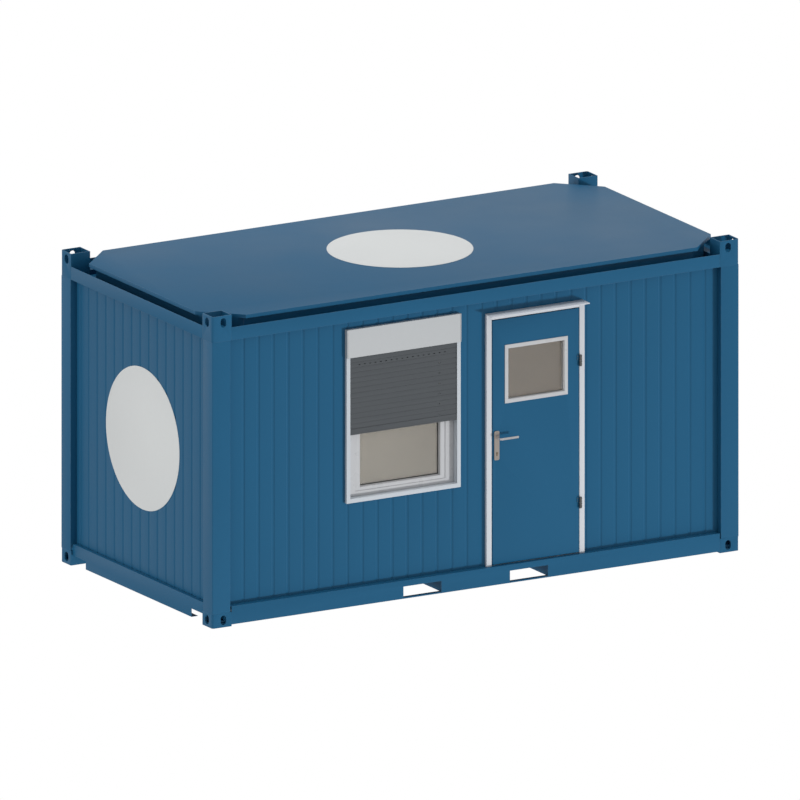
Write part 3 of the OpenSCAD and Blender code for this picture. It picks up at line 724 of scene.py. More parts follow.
room_x, room_y = -room.x, -room.y
line_wall("front_lining", FRONT, 0.0, room_y, room_x)
line_wall("back_lining", ["wall_back"], math.pi, room_y, room_x)
line_wall("left_lining", ["wall_left"], -math.pi / 2, room_x, room_y)
line_wall("right_lining", ["wall_right"], math.pi / 2, room_x, room_y)

ceiling_low, ceiling_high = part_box("ceiling")
overhead = board_row(
    ceiling_high.x - ceiling_low.x,
    ceiling_high.z - ceiling_low.z,
    ceiling_high.y - ceiling_low.y,
)
overhead.name = "ceiling_boards"
overhead.data.transform(Matrix.Translation((ceiling_low.x, ceiling_high.y, ceiling_low.z)))
place_piece(overhead, "lining", "cabin", ["ceiling"])

# %% [markdown]
# ## Bars, rings and prisms
# Much of the joinery is a straight profile: a skirting board, a glazing bead, a shutter
# slat. A few helpers cover them. An outline can be pushed along any axis, a prism goes
# along X and may have rounded edges, and a block is a bar between two corners. A ring takes
# a section round a rectangle with mitred corners, as window beads and pane frames are cut.


# %% Helpers for profiles
def from_lists(name, points, faces):
    """A mesh object from points and faces, with its normals turned outwards."""
    work = bmesh.new()
    verts = [work.verts.new(point) for point in points]
    for face in faces:
        work.faces.new([verts[i] for i in face])
    bmesh.ops.recalc_face_normals(work, faces=work.faces)
    return new_object(name, mesh_of(work, name))


def quads(rows, sides, closed=False):
    """Faces between rows of points, with a cap at each end unless the rows close."""
    faces = []
    for row in range(rows if closed else rows - 1):
        near, far = row * sides, (row + 1) % rows * sides
        for i in range(sides):
            j = (i + 1) % sides
            faces.append((near + i, near + j, far + j, far + i))
    if not closed:
        faces += [tuple(range(sides)), tuple(range((rows - 1) * sides, rows * sides))]
    return faces


def pushed(name, outline, start, end, along="x"):
    """An outline pushed along an axis. Its points give the other two axes in their order."""
    points = [[a, b] for _ in range(2) for a, b in outline]
    for i, point in enumerate(points):
        point.insert("xyz".index(along), start if i < len(outline) else end)
    return from_lists(name, points, quads(2, len(outline)))


def prism(name, section, start, end, radius=0.0):
    """A section, as (y, z) points, pushed along X, with its edges rounded if asked."""
    made = pushed(name, section, start, end)
    return rounded(made, radius) if radius else made


def block(name, low, high, radius=1.5 * MM):
    """A bar between two corners."""
    (x0, y0, z0), (x1, y1, z1) = low, high
    return prism(name, [(y0, z0), (y0, z1), (y1, z1), (y1, z0)], x0, x1, radius)


def ring(name, opening, section, radius):
    """A section, as (inset, y) points, taken round an opening (x0, x1, z0, z1)."""
    x0, x1, z0, z1 = opening
    points = []
    for left, low in ((True, True), (False, True), (False, False), (True, False)):
        for inset, y in section:
            x = x0 + inset if left else x1 - inset
            z = z0 + inset if low else z1 - inset
            points.append((x, y, z))
    return rounded(from_lists(name, points, quads(4, len(section), closed=True)), radius)


# %% [markdown]
# ## Closing the roof's corners
# The roof's core has cut corners, which leaves a gap beside each block on top. A thin
# three-cornered plate closes it, with a small lap into the core.

# %% Plates that close the roof's cut corners
GUSSET_T, GUSSET_LAP = 3 * MM, 10 * MM
core_low, core_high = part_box("roof_core")
core_corners = [vertex.co for vertex in frame["nodes"]["roof_core"].data.vertices]
straight = min(co.x for co in core_corners if co.y < core_low.y + MERGE)
cut = straight - core_low.x + GUSSET_LAP
gussets = []
for side_x, x in ((1, core_low.x), (-1, core_high.x)):
    for side_y, y in ((1, core_low.y), (-1, core_high.y)):
        plan = [(x, y), (x + side_x * cut, y), (x, y + side_y * cut)]
        gussets.append(pushed("gusset", plan, core_low.z, core_low.z + GUSSET_T, "z"))
place_piece(joined("roof_gussets", gussets), "frame_paint", "cabin")

# %% [markdown]
# ## Skirting and floor trim
# A low board hides the joint between the lining and the floor. It stops at the doorway.

# %% Skirting round the room
SKIRTING_H, SKIRTING_T = 60 * MM, 12 * MM
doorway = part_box("door_jambs")
up = floor_z + SKIRTING_H
runs = [
    ((-room_x, room_y - SKIRTING_T), (room_x, room_y)),
    ((-room_x, -room_y), (-room_x + SKIRTING_T, room_y - SKIRTING_T)),
    ((room_x - SKIRTING_T, -room_y), (room_x, room_y - SKIRTING_T)),
    ((-room_x + SKIRTING_T, -room_y), (doorway[0].x, -room_y + SKIRTING_T)),
    ((doorway[1].x, -room_y), (room_x - SKIRTING_T, -room_y + SKIRTING_T)),
]
skirting = joined(
    "skirting", [block("run", (*one, floor_z), (*two, up), 4 * MM) for one, two in runs]
)
place_piece(skirting, "white_plastic", "cabin")
print("skirting", len(runs), "runs")

# %% [markdown]
# ## The roller shutter
# The curtain is a stack of curved slats that hook into each other, with a stiffer bar at the
# foot. Each slat is drawn once as a section, and a tree stacks the copies. The hooks have
# light slots: those of one slat near the top stand open, and one more opens on every second
# slat below. The tree cuts them with capsules on two lines, so each is a real hole.

# %% The tree that stacks slats and cuts slots
t = slat_tree = Tree(
    "slat_stack",
    Object=["Slat", "Slot"],
    Int=["Count", "Row count", "Column count"],
    Vector=["Step", "Row start", "Row step", "Column start", "Column step"],
)


def copies(shape, count, step, start=None):
    """Real copies of an object along a line."""
    line = {"Count": count, "Offset": step}
    if start:
        line["Start Location"] = start
    spots = t.node("GeometryNodeMeshLine", {"mode": "OFFSET"}, line)
    source = t.node("GeometryNodeObjectInfo", None, {"Object": shape}, "Geometry")
    many = t.node("GeometryNodeInstanceOnPoints", None, {"Points": spots, "Instance": source})
    return t.node("GeometryNodeRealizeInstances", None, {0: many})


stack = copies(t.get("Slat"), t.get("Count"), t.get("Step"))
cutting = {"operation": "DIFFERENCE", "solver": "EXACT"}
for line in ("Row", "Column"):
    count, step, start = (t.get(f"{line} {what}") for what in ("count", "step", "start"))
    slots = {"Mesh 1": stack, "Mesh 2": copies(t.get("Slot"), count, step, start)}
    stack = t.node("GeometryNodeMeshBoolean", cutting, slots)
t.close(stack)

# %% Draw one slat, one slot and the bar, and stack them
curtain_low, curtain_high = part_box("shutter_curtain")
BAR_H = 50 * MM
SLATS = 14
slat_pitch = (curtain_high.z - curtain_low.z - BAR_H) / SLATS
slat_h = slat_pitch - 0.4 * MM
face_y, back_y = curtain_low.y, curtain_high.y
BOW = 3.0 * MM
bow = [
    (face_y + BOW * (2 * i / 8 - 1) ** 4 + 0.2 * MM, slat_h * i / 8) for i in range(9)
]
slat = prism("slat", bow + [(back_y, slat_h), (back_y, 0.0)], curtain_low.x, curtain_high.x)

SLOT_L, SLOT_H = 18 * MM, 6 * MM
arc = [math.pi * i / 6 for i in range(7)]
right_end = [(math.sin(a), -math.cos(a)) for a in arc]
outline = [(SLOT_L / 2 - SLOT_H / 2 + SLOT_H / 2 * x, SLOT_H / 2 * z) for x, z in right_end]
outline += [(-x, -z) for x, z in outline]
slot = pushed("slot", outline, -BOW, back_y - face_y + BOW, "y")

SLOT_EDGE, SLOT_DROP, SLOT_STEP = 123 * MM, 67 * MM, 49.5 * MM
ROW_SLOTS, COLUMN_SLOTS, COLUMN_PLACE, EVERY = 17, 6, 15, 2
slot_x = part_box("window_trim")[0].x + SLOT_EDGE
slot_z = curtain_high.z - SLOT_DROP - curtain_low.z - BAR_H
slat_rows = {
    "Slat": slat,
    "Count": SLATS,
    "Step": (0.0, 0.0, slat_pitch),
    "Slot": slot,
    "Row start": (slot_x, face_y, slot_z),
    "Row count": ROW_SLOTS,
    "Row step": (SLOT_STEP, 0.0, 0.0),
    "Column start": (slot_x + COLUMN_PLACE * SLOT_STEP, face_y, slot_z - EVERY * slat_pitch),
    "Column count": COLUMN_SLOTS,
    "Column step": (0.0, 0.0, -EVERY * slat_pitch),
    "Finish": finishes["shutter_slats"],
}
curtain = grow(slat_tree, "curtain", slat_rows)
curtain.data.transform(Matrix.Translation((0, 0, curtain_low.z + BAR_H)))
for used in (slat, slot):
    bpy.data.objects.remove(used)
bar_section = [
    (face_y, BAR_H - 1 * MM), (back_y, BAR_H - 1 * MM), (back_y, 0.0), (face_y - 1 * MM, 0.0),
    (face_y - 1 * MM, 9 * MM), (face_y, 12 * MM),
]
bar = prism("bar", bar_section, curtain_low.x, curtain_high.x, 0.8 * MM)
bar.data.transform(Matrix.Translation((0, 0, curtain_low.z)))
curtain = smoothed(joined("shutter_slats", [curtain, bar]), 25)
place_piece(curtain, "shutter_slats", "cabin", ["shutter_curtain"])
print("shutter", SLATS, "slats", len(curtain.data.polygons), "faces")

# %% [markdown]
# ## Shutter box and window surround
# The box has a cover that slides between two end caps, so two thin joints run down its face.
# The surround under it is a folded frame that guides the curtain and covers the wall's edge.

# %% Box, surround and window profiles
box_low, box_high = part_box("shutter_box")
hole_low, hole_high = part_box("wall_over_window")
CAP_W, JOINT = 7 * MM, 0.8 * MM
wall_y = -wall_face
parts = [
    ((box_low.x, box_low.x + CAP_W), (box_low.y, wall_y), 2.0),
    ((box_low.x + CAP_W + JOINT, box_high.x - CAP_W - JOINT), (box_low.y + 0.5 * MM, wall_y), 2.5),
    ((box_high.x - CAP_W, box_high.x), (box_low.y, wall_y), 2.0),
    ((hole_low.x, hole_high.x), (wall_y, box_high.y), 2.0),
]
blocks = []
for (x0, x1), (y0, y1), radius in parts:
    head = box_high.z if y0 < wall_y else hole_low.z
    blocks.append(block("part", (x0, y0, box_low.z), (x1, y1, head), radius * MM))
place_piece(joined("shutter_cover", blocks), "cover_white", "cabin", ["shutter_box"])
WINDOW_PIECES = [
    ("window_surround", ["window_trim"], 1.5, "trim_white"),
    ("fixed_frame", ["window_frame"], 3.0, "white_plastic"),
    ("opening_sash", ["window_sash"], 3.0, "white_plastic"),
]
for name, nodes, radius, finish in WINDOW_PIECES:
    place_piece(softened(name, nodes, radius, 3), finish, "cabin", nodes)

# %% [markdown]
# ## Glazing
# The window has two panes with an aluminium spacer between them. A sloped bead holds them in
# the sash, and a black seal closes the last gap to the glass. The door has a single pane.


# %% Panes, spacer, beads and seals
def opening_of(node, low_edges, high_edges):
    """A node's front without an (x, z) edge at each side, as (x0, x1, z0, z1)."""
    low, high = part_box(node)
    across = (low.x + low_edges[0], high.x - high_edges[0])
    return (*across, low.z + low_edges[1], high.z - high_edges[1])


sash_low, sash_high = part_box("window_sash")
pane_low, pane_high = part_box("window_glass")
lap_low, lap_high = pane_low - sash_low, sash_high - pane_high
low_edges, high_edges = (2 * lap_low.x, 2 * lap_low.z), (2 * lap_high.x, 2 * lap_high.z)
daylight = opening_of("window_sash", low_edges, high_edges)
PANE_T, SPACER_W, BEAD_W = 4 * MM, 9 * MM, 6 * MM
front_pane = block("front", pane_low, (pane_high.x, pane_low.y + PANE_T, pane_high.z), 0.4 * MM)
rear_pane = block("rear", (pane_low.x, pane_high.y - PANE_T, pane_low.z), pane_high, 0.4 * MM)
place_piece(joined("window_panes", [front_pane, rear_pane]), "glass", "cabin", ["window_glass"])
y0, y1 = pane_low.y + PANE_T, pane_high.y - PANE_T
spacer_section = [(0, y0), (lap_low.x + SPACER_W, y0), (lap_low.x + SPACER_W, y1), (0, y1)]
glass_edge = opening_of("window_glass", (0, 0), (0, 0))
place_piece(ring("spacer", glass_edge, spacer_section, 0.5 * MM), "bare_aluminium", "cabin")

bead_face = sash_low.y + 8 * MM
bead = [
    (0, bead_face), (1 * MM, bead_face),
    (BEAD_W, pane_low.y - 4 * MM), (BEAD_W, pane_low.y), (0, pane_low.y),
]
place_piece(ring("window_bead", daylight, bead, 0.5 * MM), "white_plastic", "cabin")


def seal_ring(name, opening, inset, y, body, wide):
    """A black seal, so wide, against a pane whose face is at `y`."""
    lip = [(inset, y - 3 * MM), (inset + wide, y - 1.5 * MM), (inset + wide, y), (inset, y)]
    return place_piece(ring(name, opening, lip, 0.3 * MM), "seal_rubber", body)


seal_ring("window_seal", daylight, BEAD_W, pane_low.y, "cabin", 7 * MM)
print("daylight", short(daylight))

# %% [markdown]
# ## The door frame
# The jambs and the head are folded steel with a white coat. The threshold is painted with
# the frame and has bare grip ribs, which a tree sets side by side. A soft seal runs round
# the rebate and closes the gap behind the leaf: it is a round cord on three sides, so a tree
# takes a circle along the path.

# %% Jambs, head, threshold and rain cap
DOOR_FRAME = [
    ("jambs", ["door_jambs"], 1.8, "white_trim"),
    ("head", ["door_head"], 1.8, "white_trim"),
    ("drip_cap", ["rain_cap"], 0.7, "white_trim"),
    ("sill_plate", ["threshold"], 0.8, "frame_paint"),
    ("signs", ["sign_discs"], 1.0, "sign_white"),
]
for name, nodes, radius, finish in DOOR_FRAME:
    place_piece(softened(name, nodes, radius), finish, "cabin", nodes)

# %% The tree that takes a round section along a path
s = strip_tree = Tree("strip_on_path", Float=["Radius", "Ripple", "Step"], Int=["Sides"])
start = Wire(s, s.inputs.outputs["Geometry"])
path = s.node("GeometryNodeMeshToCurve", None, {"Mesh": start})
path = s.node(
    "GeometryNodeResampleCurve", {"mode": "LENGTH"}, {"Curve": path, "Length": s.get("Step")}
)
wave = s.sum("SINE", s.node("GeometryNodeInputIndex") * 2.1)
swell = 1 + s.get("Ripple") * wave
path = s.node("GeometryNodeSetCurveRadius", None, {"Curve": path, "Radius": swell})
circle = {"Resolution": s.get("Sides"), "Radius": s.get("Radius")}
profile = s.node("GeometryNodeCurvePrimitiveCircle", None, circle)
tube = {"Curve": path, "Profile Curve": profile, "Fill Caps": True}
s.close(s.node("GeometryNodeCurveToMesh", None, tube))


def along_paths(name, paths, radius, step, finish, body, ripple=0.0, sides=8):
    """A round strip along each path of points."""
    points, edges = [], []
    for line in paths:
        edges += [(len(points) + i, len(points) + i + 1) for i in range(len(line) - 1)]
        points += line
    base = bpy.data.meshes.new("path")
    base.from_pydata(points, edges, [])
    sizes = {"Radius": radius, "Ripple": ripple, "Step": step, "Sides": sides}
    piece = grow(strip_tree, name, {**sizes, "Finish": finishes[finish]}, base)
    piece.data.shade_smooth()
    return place_piece(piece, finish, body)


# %% Door seal and weld beads
leaf_low, leaf_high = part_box("door_leaf")
SEAL_R, LAP, STOP_GAP = 2.2 * MM, 6 * MM, 5 * MM
stop_y = leaf_high.y + STOP_GAP - SEAL_R
x0, x1, z1 = leaf_low.x + LAP, leaf_high.x - LAP, leaf_high.z - LAP
z0 = leaf_low.z + LAP
seal_path = [(x0, stop_y, z0), (x0, stop_y, z1), (x1, stop_y, z1), (x1, stop_y, z0)]
along_paths("door_seal", [seal_path], SEAL_R, 20 * MM, "seal_rubber", "cabin")

post_low, post_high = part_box("corner_posts")
WELD_R, WELD_SUNK, POST_R = 2.0 * MM, 1.2 * MM, 8 * MM
post_corners = [vertex.co for vertex in frame["nodes"]["corner_posts"].data.vertices]
long_leg = post_high.x - min(abs(co.x) for co in post_corners) - WELD_R
short_leg = post_high.y - min(abs(co.y) for co in post_corners) - WELD_R
px, py = post_high.x - WELD_SUNK, post_high.y - WELD_SUNK
arc = [math.pi / 2 * i / 6 for i in range(7)]
bend = [
    (px - POST_R + POST_R * math.sin(a), py - POST_R + POST_R * math.cos(a)) for a in arc
]
bend = [(px - long_leg, py)] + bend + [(px, py - short_leg)]
welds = [
    [(sx * x, sy * y, z) for x, y in bend]
    for sx in (-1, 1)
    for sy in (-1, 1)
    for z in (post_low.z, post_high.z)
]
along_paths("welds", welds, WELD_R, 3.5 * MM, "frame_paint", "cabin", ripple=0.16, sides=8)

# %% [markdown]
# ## The door leaf
# The leaf is two folded steel skins with a core, so its edges are rounded. The pane sits in
# two mitred frames that clamp it from both sides. On the lock edge there is a steel front
# plate with the nose of the latch, which shows when the door stands open.

# %% Leaf, pane frames and lock edge
place_piece(softened("leaf", ["door_leaf"], 2.0, 3), "door_paint", "door", ["door_leaf"])
frame_low, frame_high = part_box("pane_frames")
glass_low, glass_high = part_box("pane_glass")
pane_opening = (frame_low.x, frame_high.x, frame_low.z, frame_high.z)
sleeve = glass_low.x - frame_low.x
FACE_W = 33 * MM
front_y, rear_y = leaf_low.y, leaf_high.y
pane_rings = []
for name, out, skin, face, glass_y in (
    ("outer", -1, front_y, frame_low.y, glass_low.y),
    ("inner", 1, rear_y, frame_high.y, glass_high.y),
):
    section = [
        (0, skin), (0, face - out * 1 * MM), (2 * MM, face), (FACE_W - 3 * MM, face),
        (FACE_W, face - out * 3 * MM), (FACE_W, glass_y), (sleeve, glass_y), (sleeve, skin),
    ]
    pane_rings.append(ring(name, pane_opening, section, 0.8 * MM))
place_piece(joined("pane_clamps", pane_rings), "white_plastic", "door", ["pane_frames"])
pane = block("door_pane", glass_low, glass_high, 0.4 * MM)
place_piece(pane, "door_glass", "door", ["pane_glass"])
seal_ring("pane_seal", pane_opening, FACE_W, glass_low.y, "door", 2 * MM)

joints = {joint["name"]: joint for joint in frame["joints"]}

# %% [markdown]
# ## Lever handles
# A lever is one bar: it comes straight out of its plate, turns a corner and runs along the
# door as the grip, which is a little flatter than it is deep. Sections are set along that
# path and skinned. The end closes in a half round, so the grip has no sharp rim.


# %% A bent bar with a changing section
def bent_bar(name, root, out, stations):
    """Skins sections along stations of (along, away, half_depth, half_height, angle)."""
    sides, points = 20, []
    for along, away, half_depth, half_height, angle in stations:
        for i in range(sides):
            turn = 2 * math.pi * i / sides
            side, rise = half_depth * math.cos(turn), half_height * math.sin(turn)
            points.append(
                (
                    root.x + along - side * math.sin(angle),
                    root.y + out * (away + side * math.cos(angle)),
                    root.z + rise,
                )
            )
    return smoothed(from_lists(name, points, quads(len(stations), sides)), 50)


def lever_stations(reach, length, neck_r, grip_r):
    """Neck, elbow, grip and round end. Angle 90 degrees runs out of the door, 0 along it."""
    quarter = math.pi / 2
    elbow = 16 * MM
    flat, tall = grip_r * 0.66, grip_r
    line = [
        (0, 0, neck_r + 4 * MM, neck_r + 4 * MM, quarter),
        (0, 2.5 * MM, neck_r + 4 * MM, neck_r + 4 * MM, quarter),
        (0, 4 * MM, neck_r + 2.5 * MM, neck_r + 2.5 * MM, quarter),
        (0, 5 * MM, neck_r, neck_r, quarter),
        (0, (reach - elbow) * 0.6, neck_r, neck_r, quarter),
    ]
    for i in range(9):
        angle = quarter * (1 - i / 8)
        along = elbow * (1 - math.sin(angle))
        away = reach - elbow + elbow * math.cos(angle)
        share = i / 8
        depth = neck_r * (1 - share) + flat * share
        line.append((along, away, depth, neck_r * (1 - share) + tall * share, angle))
    body = length - elbow - flat
    line += [(elbow + body * i / 6, reach, flat, tall, 0.0) for i in range(1, 7)]
    for i in range(1, 7):
        turn = quarter * i / 6 * 0.96
        shrink = math.cos(turn)
        along = length - flat + flat * math.sin(turn)
        line.append((along, reach, flat * shrink, tall * shrink, 0.0))
    return line


# %% Both levers
# The levers take lever_steel, whose light tone is a painted highlight.
axis_spot = Vector(joints["lever_turn"]["pos_m"])
NECK_R, GRIP_R = 9 * MM, 10.5 * MM
for name, node, out in (("outside_lever", "outer_lever", -1), ("inside_lever", "inner_lever", 1)):
    lever_low, lever_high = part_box(node)
    plate_y = leaf_low.y if out < 0 else leaf_high.y
    far = abs((lever_low.y if out < 0 else lever_high.y) - plate_y)
    root = Vector((axis_spot.x, plate_y, axis_spot.z))
    stations = lever_stations(far - NECK_R, lever_high.x - axis_spot.x, NECK_R, GRIP_R)
    place_piece(bent_bar(name, root, out, stations), "lever_steel", "lever", [node])
    print(name, "reaches", round(far, 4))

# %% [markdown]
# ## Plates, lock cylinder and hinges
# The plates are brushed steel with round corners and a rounded rim. The cylinder has a key
# slot in each face, cut as a real hole. The hinge plates are painted over with what carries
# them, and the barrels round their pins are bare steel in a very dark tone, which is painted
# shade and dark reflection.

# %% Plates with round corners
CORNER_R, CORNER_STEPS, PLATE_RIM = 13 * MM, 6, 1.8 * MM
plates_low, plates_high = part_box("lock_plates")
core = (plates_high - plates_low) / 2 - Vector((CORNER_R, 0, CORNER_R))
plate_mid = (plates_low + plates_high) / 2
plate_outline = []
for corner, (side_x, side_z) in enumerate(((1, -1), (1, 1), (-1, 1), (-1, -1))):
    for i in range(CORNER_STEPS + 1):
        turn = math.pi / 2 * (corner - 1 + i / CORNER_STEPS)
        x = plate_mid.x + side_x * core.x + CORNER_R * math.cos(turn)
        z = plate_mid.z + side_z * core.z + CORNER_R * math.sin(turn)
        plate_outline.append((x, z))
plates = [
    rounded(pushed("plate", plate_outline, y0, y1, "y"), PLATE_RIM, 3)
    for y0, y1 in ((plates_low.y, leaf_low.y), (leaf_high.y, plates_high.y))
]
place_piece(joined("plates", plates), "handle_steel", "door", ["lock_plates"])

# %% The cut lock cylinder
cylinder_low, cylinder_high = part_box("lock_cylinder")
lock_x = (cylinder_low.x + cylinder_high.x) / 2
keyhole_top = cylinder_high.z - 5 * MM
KEY_W, KEY_H, KEY_D = 1.1 * MM, 8 * MM, 6 * MM
rough = new_object("rough", merged(["lock_cylinder"]))
bevel_edges(rough, 0.5 * MM, 2)
key_slots = []
for y in (cylinder_low.y, cylinder_high.y):
    key_low = (lock_x - KEY_W, y - KEY_D, keyhole_top - KEY_H)
    key_high = (lock_x + KEY_W, y + KEY_D, keyhole_top)
    key_slots.append(block("key", key_low, key_high, 0.2 * MM))
key_slots = joined("key_slots", key_slots)
slots_cut = rough.modifiers.new("slots", "BOOLEAN")
slots_cut.object, slots_cut.operation = key_slots, "DIFFERENCE"
cylinder = settle(rough, "profile_cylinder")
bpy.data.objects.remove(key_slots)
mark_edges(cylinder)
place_piece(cylinder, "cylinder_brass", "door", ["lock_cylinder"])

# %% Hinge plates, painted with what carries them, and bare barrels round their pins
def turned(name, profile, sides=12):
    """A closed shape turned about Z from (radius, height) points, top to bottom."""
    points = [(0.0, 0.0, profile[0][1])]
    for radius, height in profile[1:-1]:
        for i in range(sides):
            turn = 2 * math.pi * i / sides
            points.append((radius * math.cos(turn), radius * math.sin(turn), height))
    points.append((0.0, 0.0, profile[-1][1]))
    rows, last = len(profile) - 2, len(points) - 1
    faces = [(0, 1 + i, 1 + (i + 1) % sides) for i in range(sides)]
    for r in range(rows - 1):
        a, b = 1 + r * sides, 1 + (r + 1) * sides
        faces += [(a + i, b + i, b + (i + 1) % sides, a + (i + 1) % sides) for i in range(sides)]
    base = 1 + (rows - 1) * sides
    faces += [(last, base + (i + 1) % sides, base + i) for i in range(sides)]
    return from_lists(name, points, faces)


swing_spot = Vector(joints["door_swing"]["pos_m"])
SLEEVE, RIM = 0.4 * MM, 1 * MM
barrel_r = swing_spot.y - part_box("frame_hinges")[0].y


def knuckles_of(node):
    """The height ranges of a node's knuckles, which stand round the hinge axis."""
    corners = [vertex.co for vertex in merged([node]).vertices]
    away = [(co.z, (co - swing_spot).xy.length) for co in corners]
    heights = sorted({round(z, 4) for z, reach in away if abs(reach - barrel_r) < SLEEVE})
    split = max(range(1, len(heights)), key=lambda i: heights[i] - heights[i - 1])
    return [(heights[0], heights[split - 1]), (heights[split], heights[-1])]


def barrel(z0, z1, radius):
    """An upright barrel about the hinge axis, with eased rims."""
    rims = [(radius - RIM, z1), (radius, z1 - RIM), (radius, z0 + RIM), (radius - RIM, z0)]
    shape = turned("barrel", [(0, z1), *rims, (0, z0)], 32)
    shape.data.transform(Matrix.Translation((swing_spot.x, swing_spot.y, 0)))
    return shape


HINGES = [
    ("hinge_seats", "frame_hinges", "cabin", "white_trim"),
    ("hinge_leaves", "leaf_hinges", "door", "door_paint"),
]
for name, node, body, finish in HINGES:
    place_piece(softened(name, [node], 0.7), finish, body, [node])
    spans = knuckles_of(node)
    sleeves = joined(name + "_barrels", [barrel(*span, barrel_r + SLEEVE) for span in spans])
    place_piece(smoothed(sleeves, 30), "hinge_steel", body)
    print(name, "knuckles", *map(short, spans))

# %% Front plate of the lock on the edge of the leaf
PLATE_H, PLATE_W, PLATE_T = 235 * MM, 20 * MM, 1.6 * MM
leaf_mid_y = (leaf_low.y + leaf_high.y) / 2
plate_z = axis_spot.z - 35 * MM
front_plate = block(
    "plate",
    (leaf_low.x - PLATE_T, leaf_mid_y - PLATE_W / 2, plate_z - PLATE_H / 2),
    (leaf_low.x + 1 * MM, leaf_mid_y + PLATE_W / 2, plate_z + PLATE_H / 2),
    0.6 * MM,
)
latch = block(
    "latch",
    (leaf_low.x - 3 * MM, leaf_mid_y - 6 * MM, axis_spot.z - 15 * MM),
    (leaf_low.x, leaf_mid_y + 6 * MM, axis_spot.z + 13 * MM),
    1.2 * MM,
)
place_piece(joined("lock_front", [front_plate, latch]), "handle_steel", "door")

# %% [markdown]
# ## Screws and rivets
# Small fixings repeat everywhere, so each kind is turned once as a low shape, and one tree
# puts a copy on every point. Each point stores which way it faces, and a random turn about
# that way, with a fixed seed, keeps the drives from lining up as they never do on a real one.


# %% Turned shapes and the tree that spreads them
def scaled(profile):
    return [(radius * MM, height * MM) for radius, height in profile]


SCREW = scaled(
    [(0, 0.7), (1.5, 0.7), (1.6, 1.8), (2.6, 1.9), (3.9, 1.2), (4.3, 0.2), (4.3, -0.4), (0, -0.4)]
)
RIVET = scaled(
    [(0, 1.0), (0.9, 1.0), (1.2, 1.7), (2.6, 1.6), (4.2, 0.9), (4.9, 0), (4.9, -0.4), (0, -0.4)]
)
f = fixing_tree = Tree("fixings", Object=["Shape"], Int=["Seed"])
spots = Wire(f, f.inputs.outputs["Geometry"])
vector = {"data_type": "FLOAT_VECTOR"}
facing = f.node("GeometryNodeInputNamedAttribute", vector, {"Name": "facing"}, "Attribute")
aimed = f.node("FunctionNodeAlignRotationToVector", {"axis": "Z"}, {"Vector": facing})
between = {"Min": 0.0, "Max": 2 * math.pi, "Seed": f.get("Seed")}
chance = f.node("FunctionNodeRandomValue", {"data_type": "FLOAT"}, between, "Value")
spin = f.node("ShaderNodeCombineXYZ", None, {2: chance})
spin = f.node("FunctionNodeEulerToRotation", None, {0: spin})
turned_by = {"Rotation": aimed, "Rotate By": spin}
aimed = f.node("FunctionNodeRotateRotation", {"rotation_space": "LOCAL"}, turned_by)
shape = f.node("GeometryNodeObjectInfo", None, {"Object": f.get("Shape")}, "Geometry")
copied = {"Points": spots, "Instance": shape, "Rotation": aimed}
f.close(f.node("GeometryNodeInstanceOnPoints", None, copied))


def fixings(name, profile, spots, finish, body, seed=1, sides=12):
    """Copies of a turned shape on (point, facing) spots."""
    base = bpy.data.meshes.new("spots")
    base.from_pydata([spot for spot, way in spots], [], [])
    ways = base.attributes.new("facing", "FLOAT_VECTOR", "POINT")
    ways.data.foreach_set("vector", [value for spot, way in spots for value in way])
    shape = turned("shape", profile, sides)
    sizes = {"Shape": shape, "Seed": seed, "Finish": finishes[finish]}
    piece = grow(fixing_tree, name, sizes, base)
    bpy.data.objects.remove(shape)
    print(name, len(spots), "pieces,", len(piece.data.polygons), "faces")
    return place_piece(smoothed(piece, 45), finish, body)


def line_of(start, end, count):
    """Points spread evenly between two ends."""
    one, two = Vector(start), Vector(end)
    return [tuple(one.lerp(two, i / (count - 1))) for i in range(count)]


# %% Screws of the door and its hardware
OUT, IN = (0, -1, 0), (0, 1, 0)
PLATE_INSET, LOCK_INSET = 13 * MM, 10 * MM
CLAMP_INSET, CLAMP_END = 14 * MM, 40 * MM
door_spots = []
for z in (plates_low.z + PLATE_INSET, plates_high.z - PLATE_INSET):
    door_spots += [((axis_spot.x, plates_low.y, z), OUT), ((axis_spot.x, plates_high.y, z), IN)]
for z in (plate_z - PLATE_H / 2 + LOCK_INSET, plate_z + PLATE_H / 2 - LOCK_INSET):
    door_spots.append(((leaf_low.x - PLATE_T, leaf_mid_y, z), (-1, 0, 0)))
for x in (frame_low.x + CLAMP_INSET, frame_high.x - CLAMP_INSET):
    foot = (x, frame_high.y, frame_low.z + CLAMP_END)
    head = (x, frame_high.y, frame_high.z - CLAMP_END)
    door_spots += [(point, IN) for point in line_of(foot, head, 3)]
fixings("door_screws", SCREW, door_spots, "handle_steel", "door", seed=3)

HINGE_MIDDLE, HINGE_PLATE_T = 46 * MM, 3 * MM
seat_low, seat_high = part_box("frame_hinges")
flap_low, flap_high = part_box("leaf_hinges")
hinge_face = leaf_low.y - HINGE_PLATE_T
seat_spots, leaf_spots = [], []
for z in (seat_low.z + HINGE_MIDDLE, flap_high.z - HINGE_MIDDLE):
    for dz in (12 * MM, 34 * MM):
        seat_spots.append(((seat_high.x - 7 * MM, hinge_face, z - dz), OUT))
        leaf_spots.append(((flap_low.x + 8 * MM, hinge_face, z + dz), OUT))
fixings("seat_screws", SCREW, seat_spots, "hinge_steel", "cabin", seed=5)
fixings("leaf_screws", SCREW, leaf_spots, "hinge_steel", "door", seed=6)

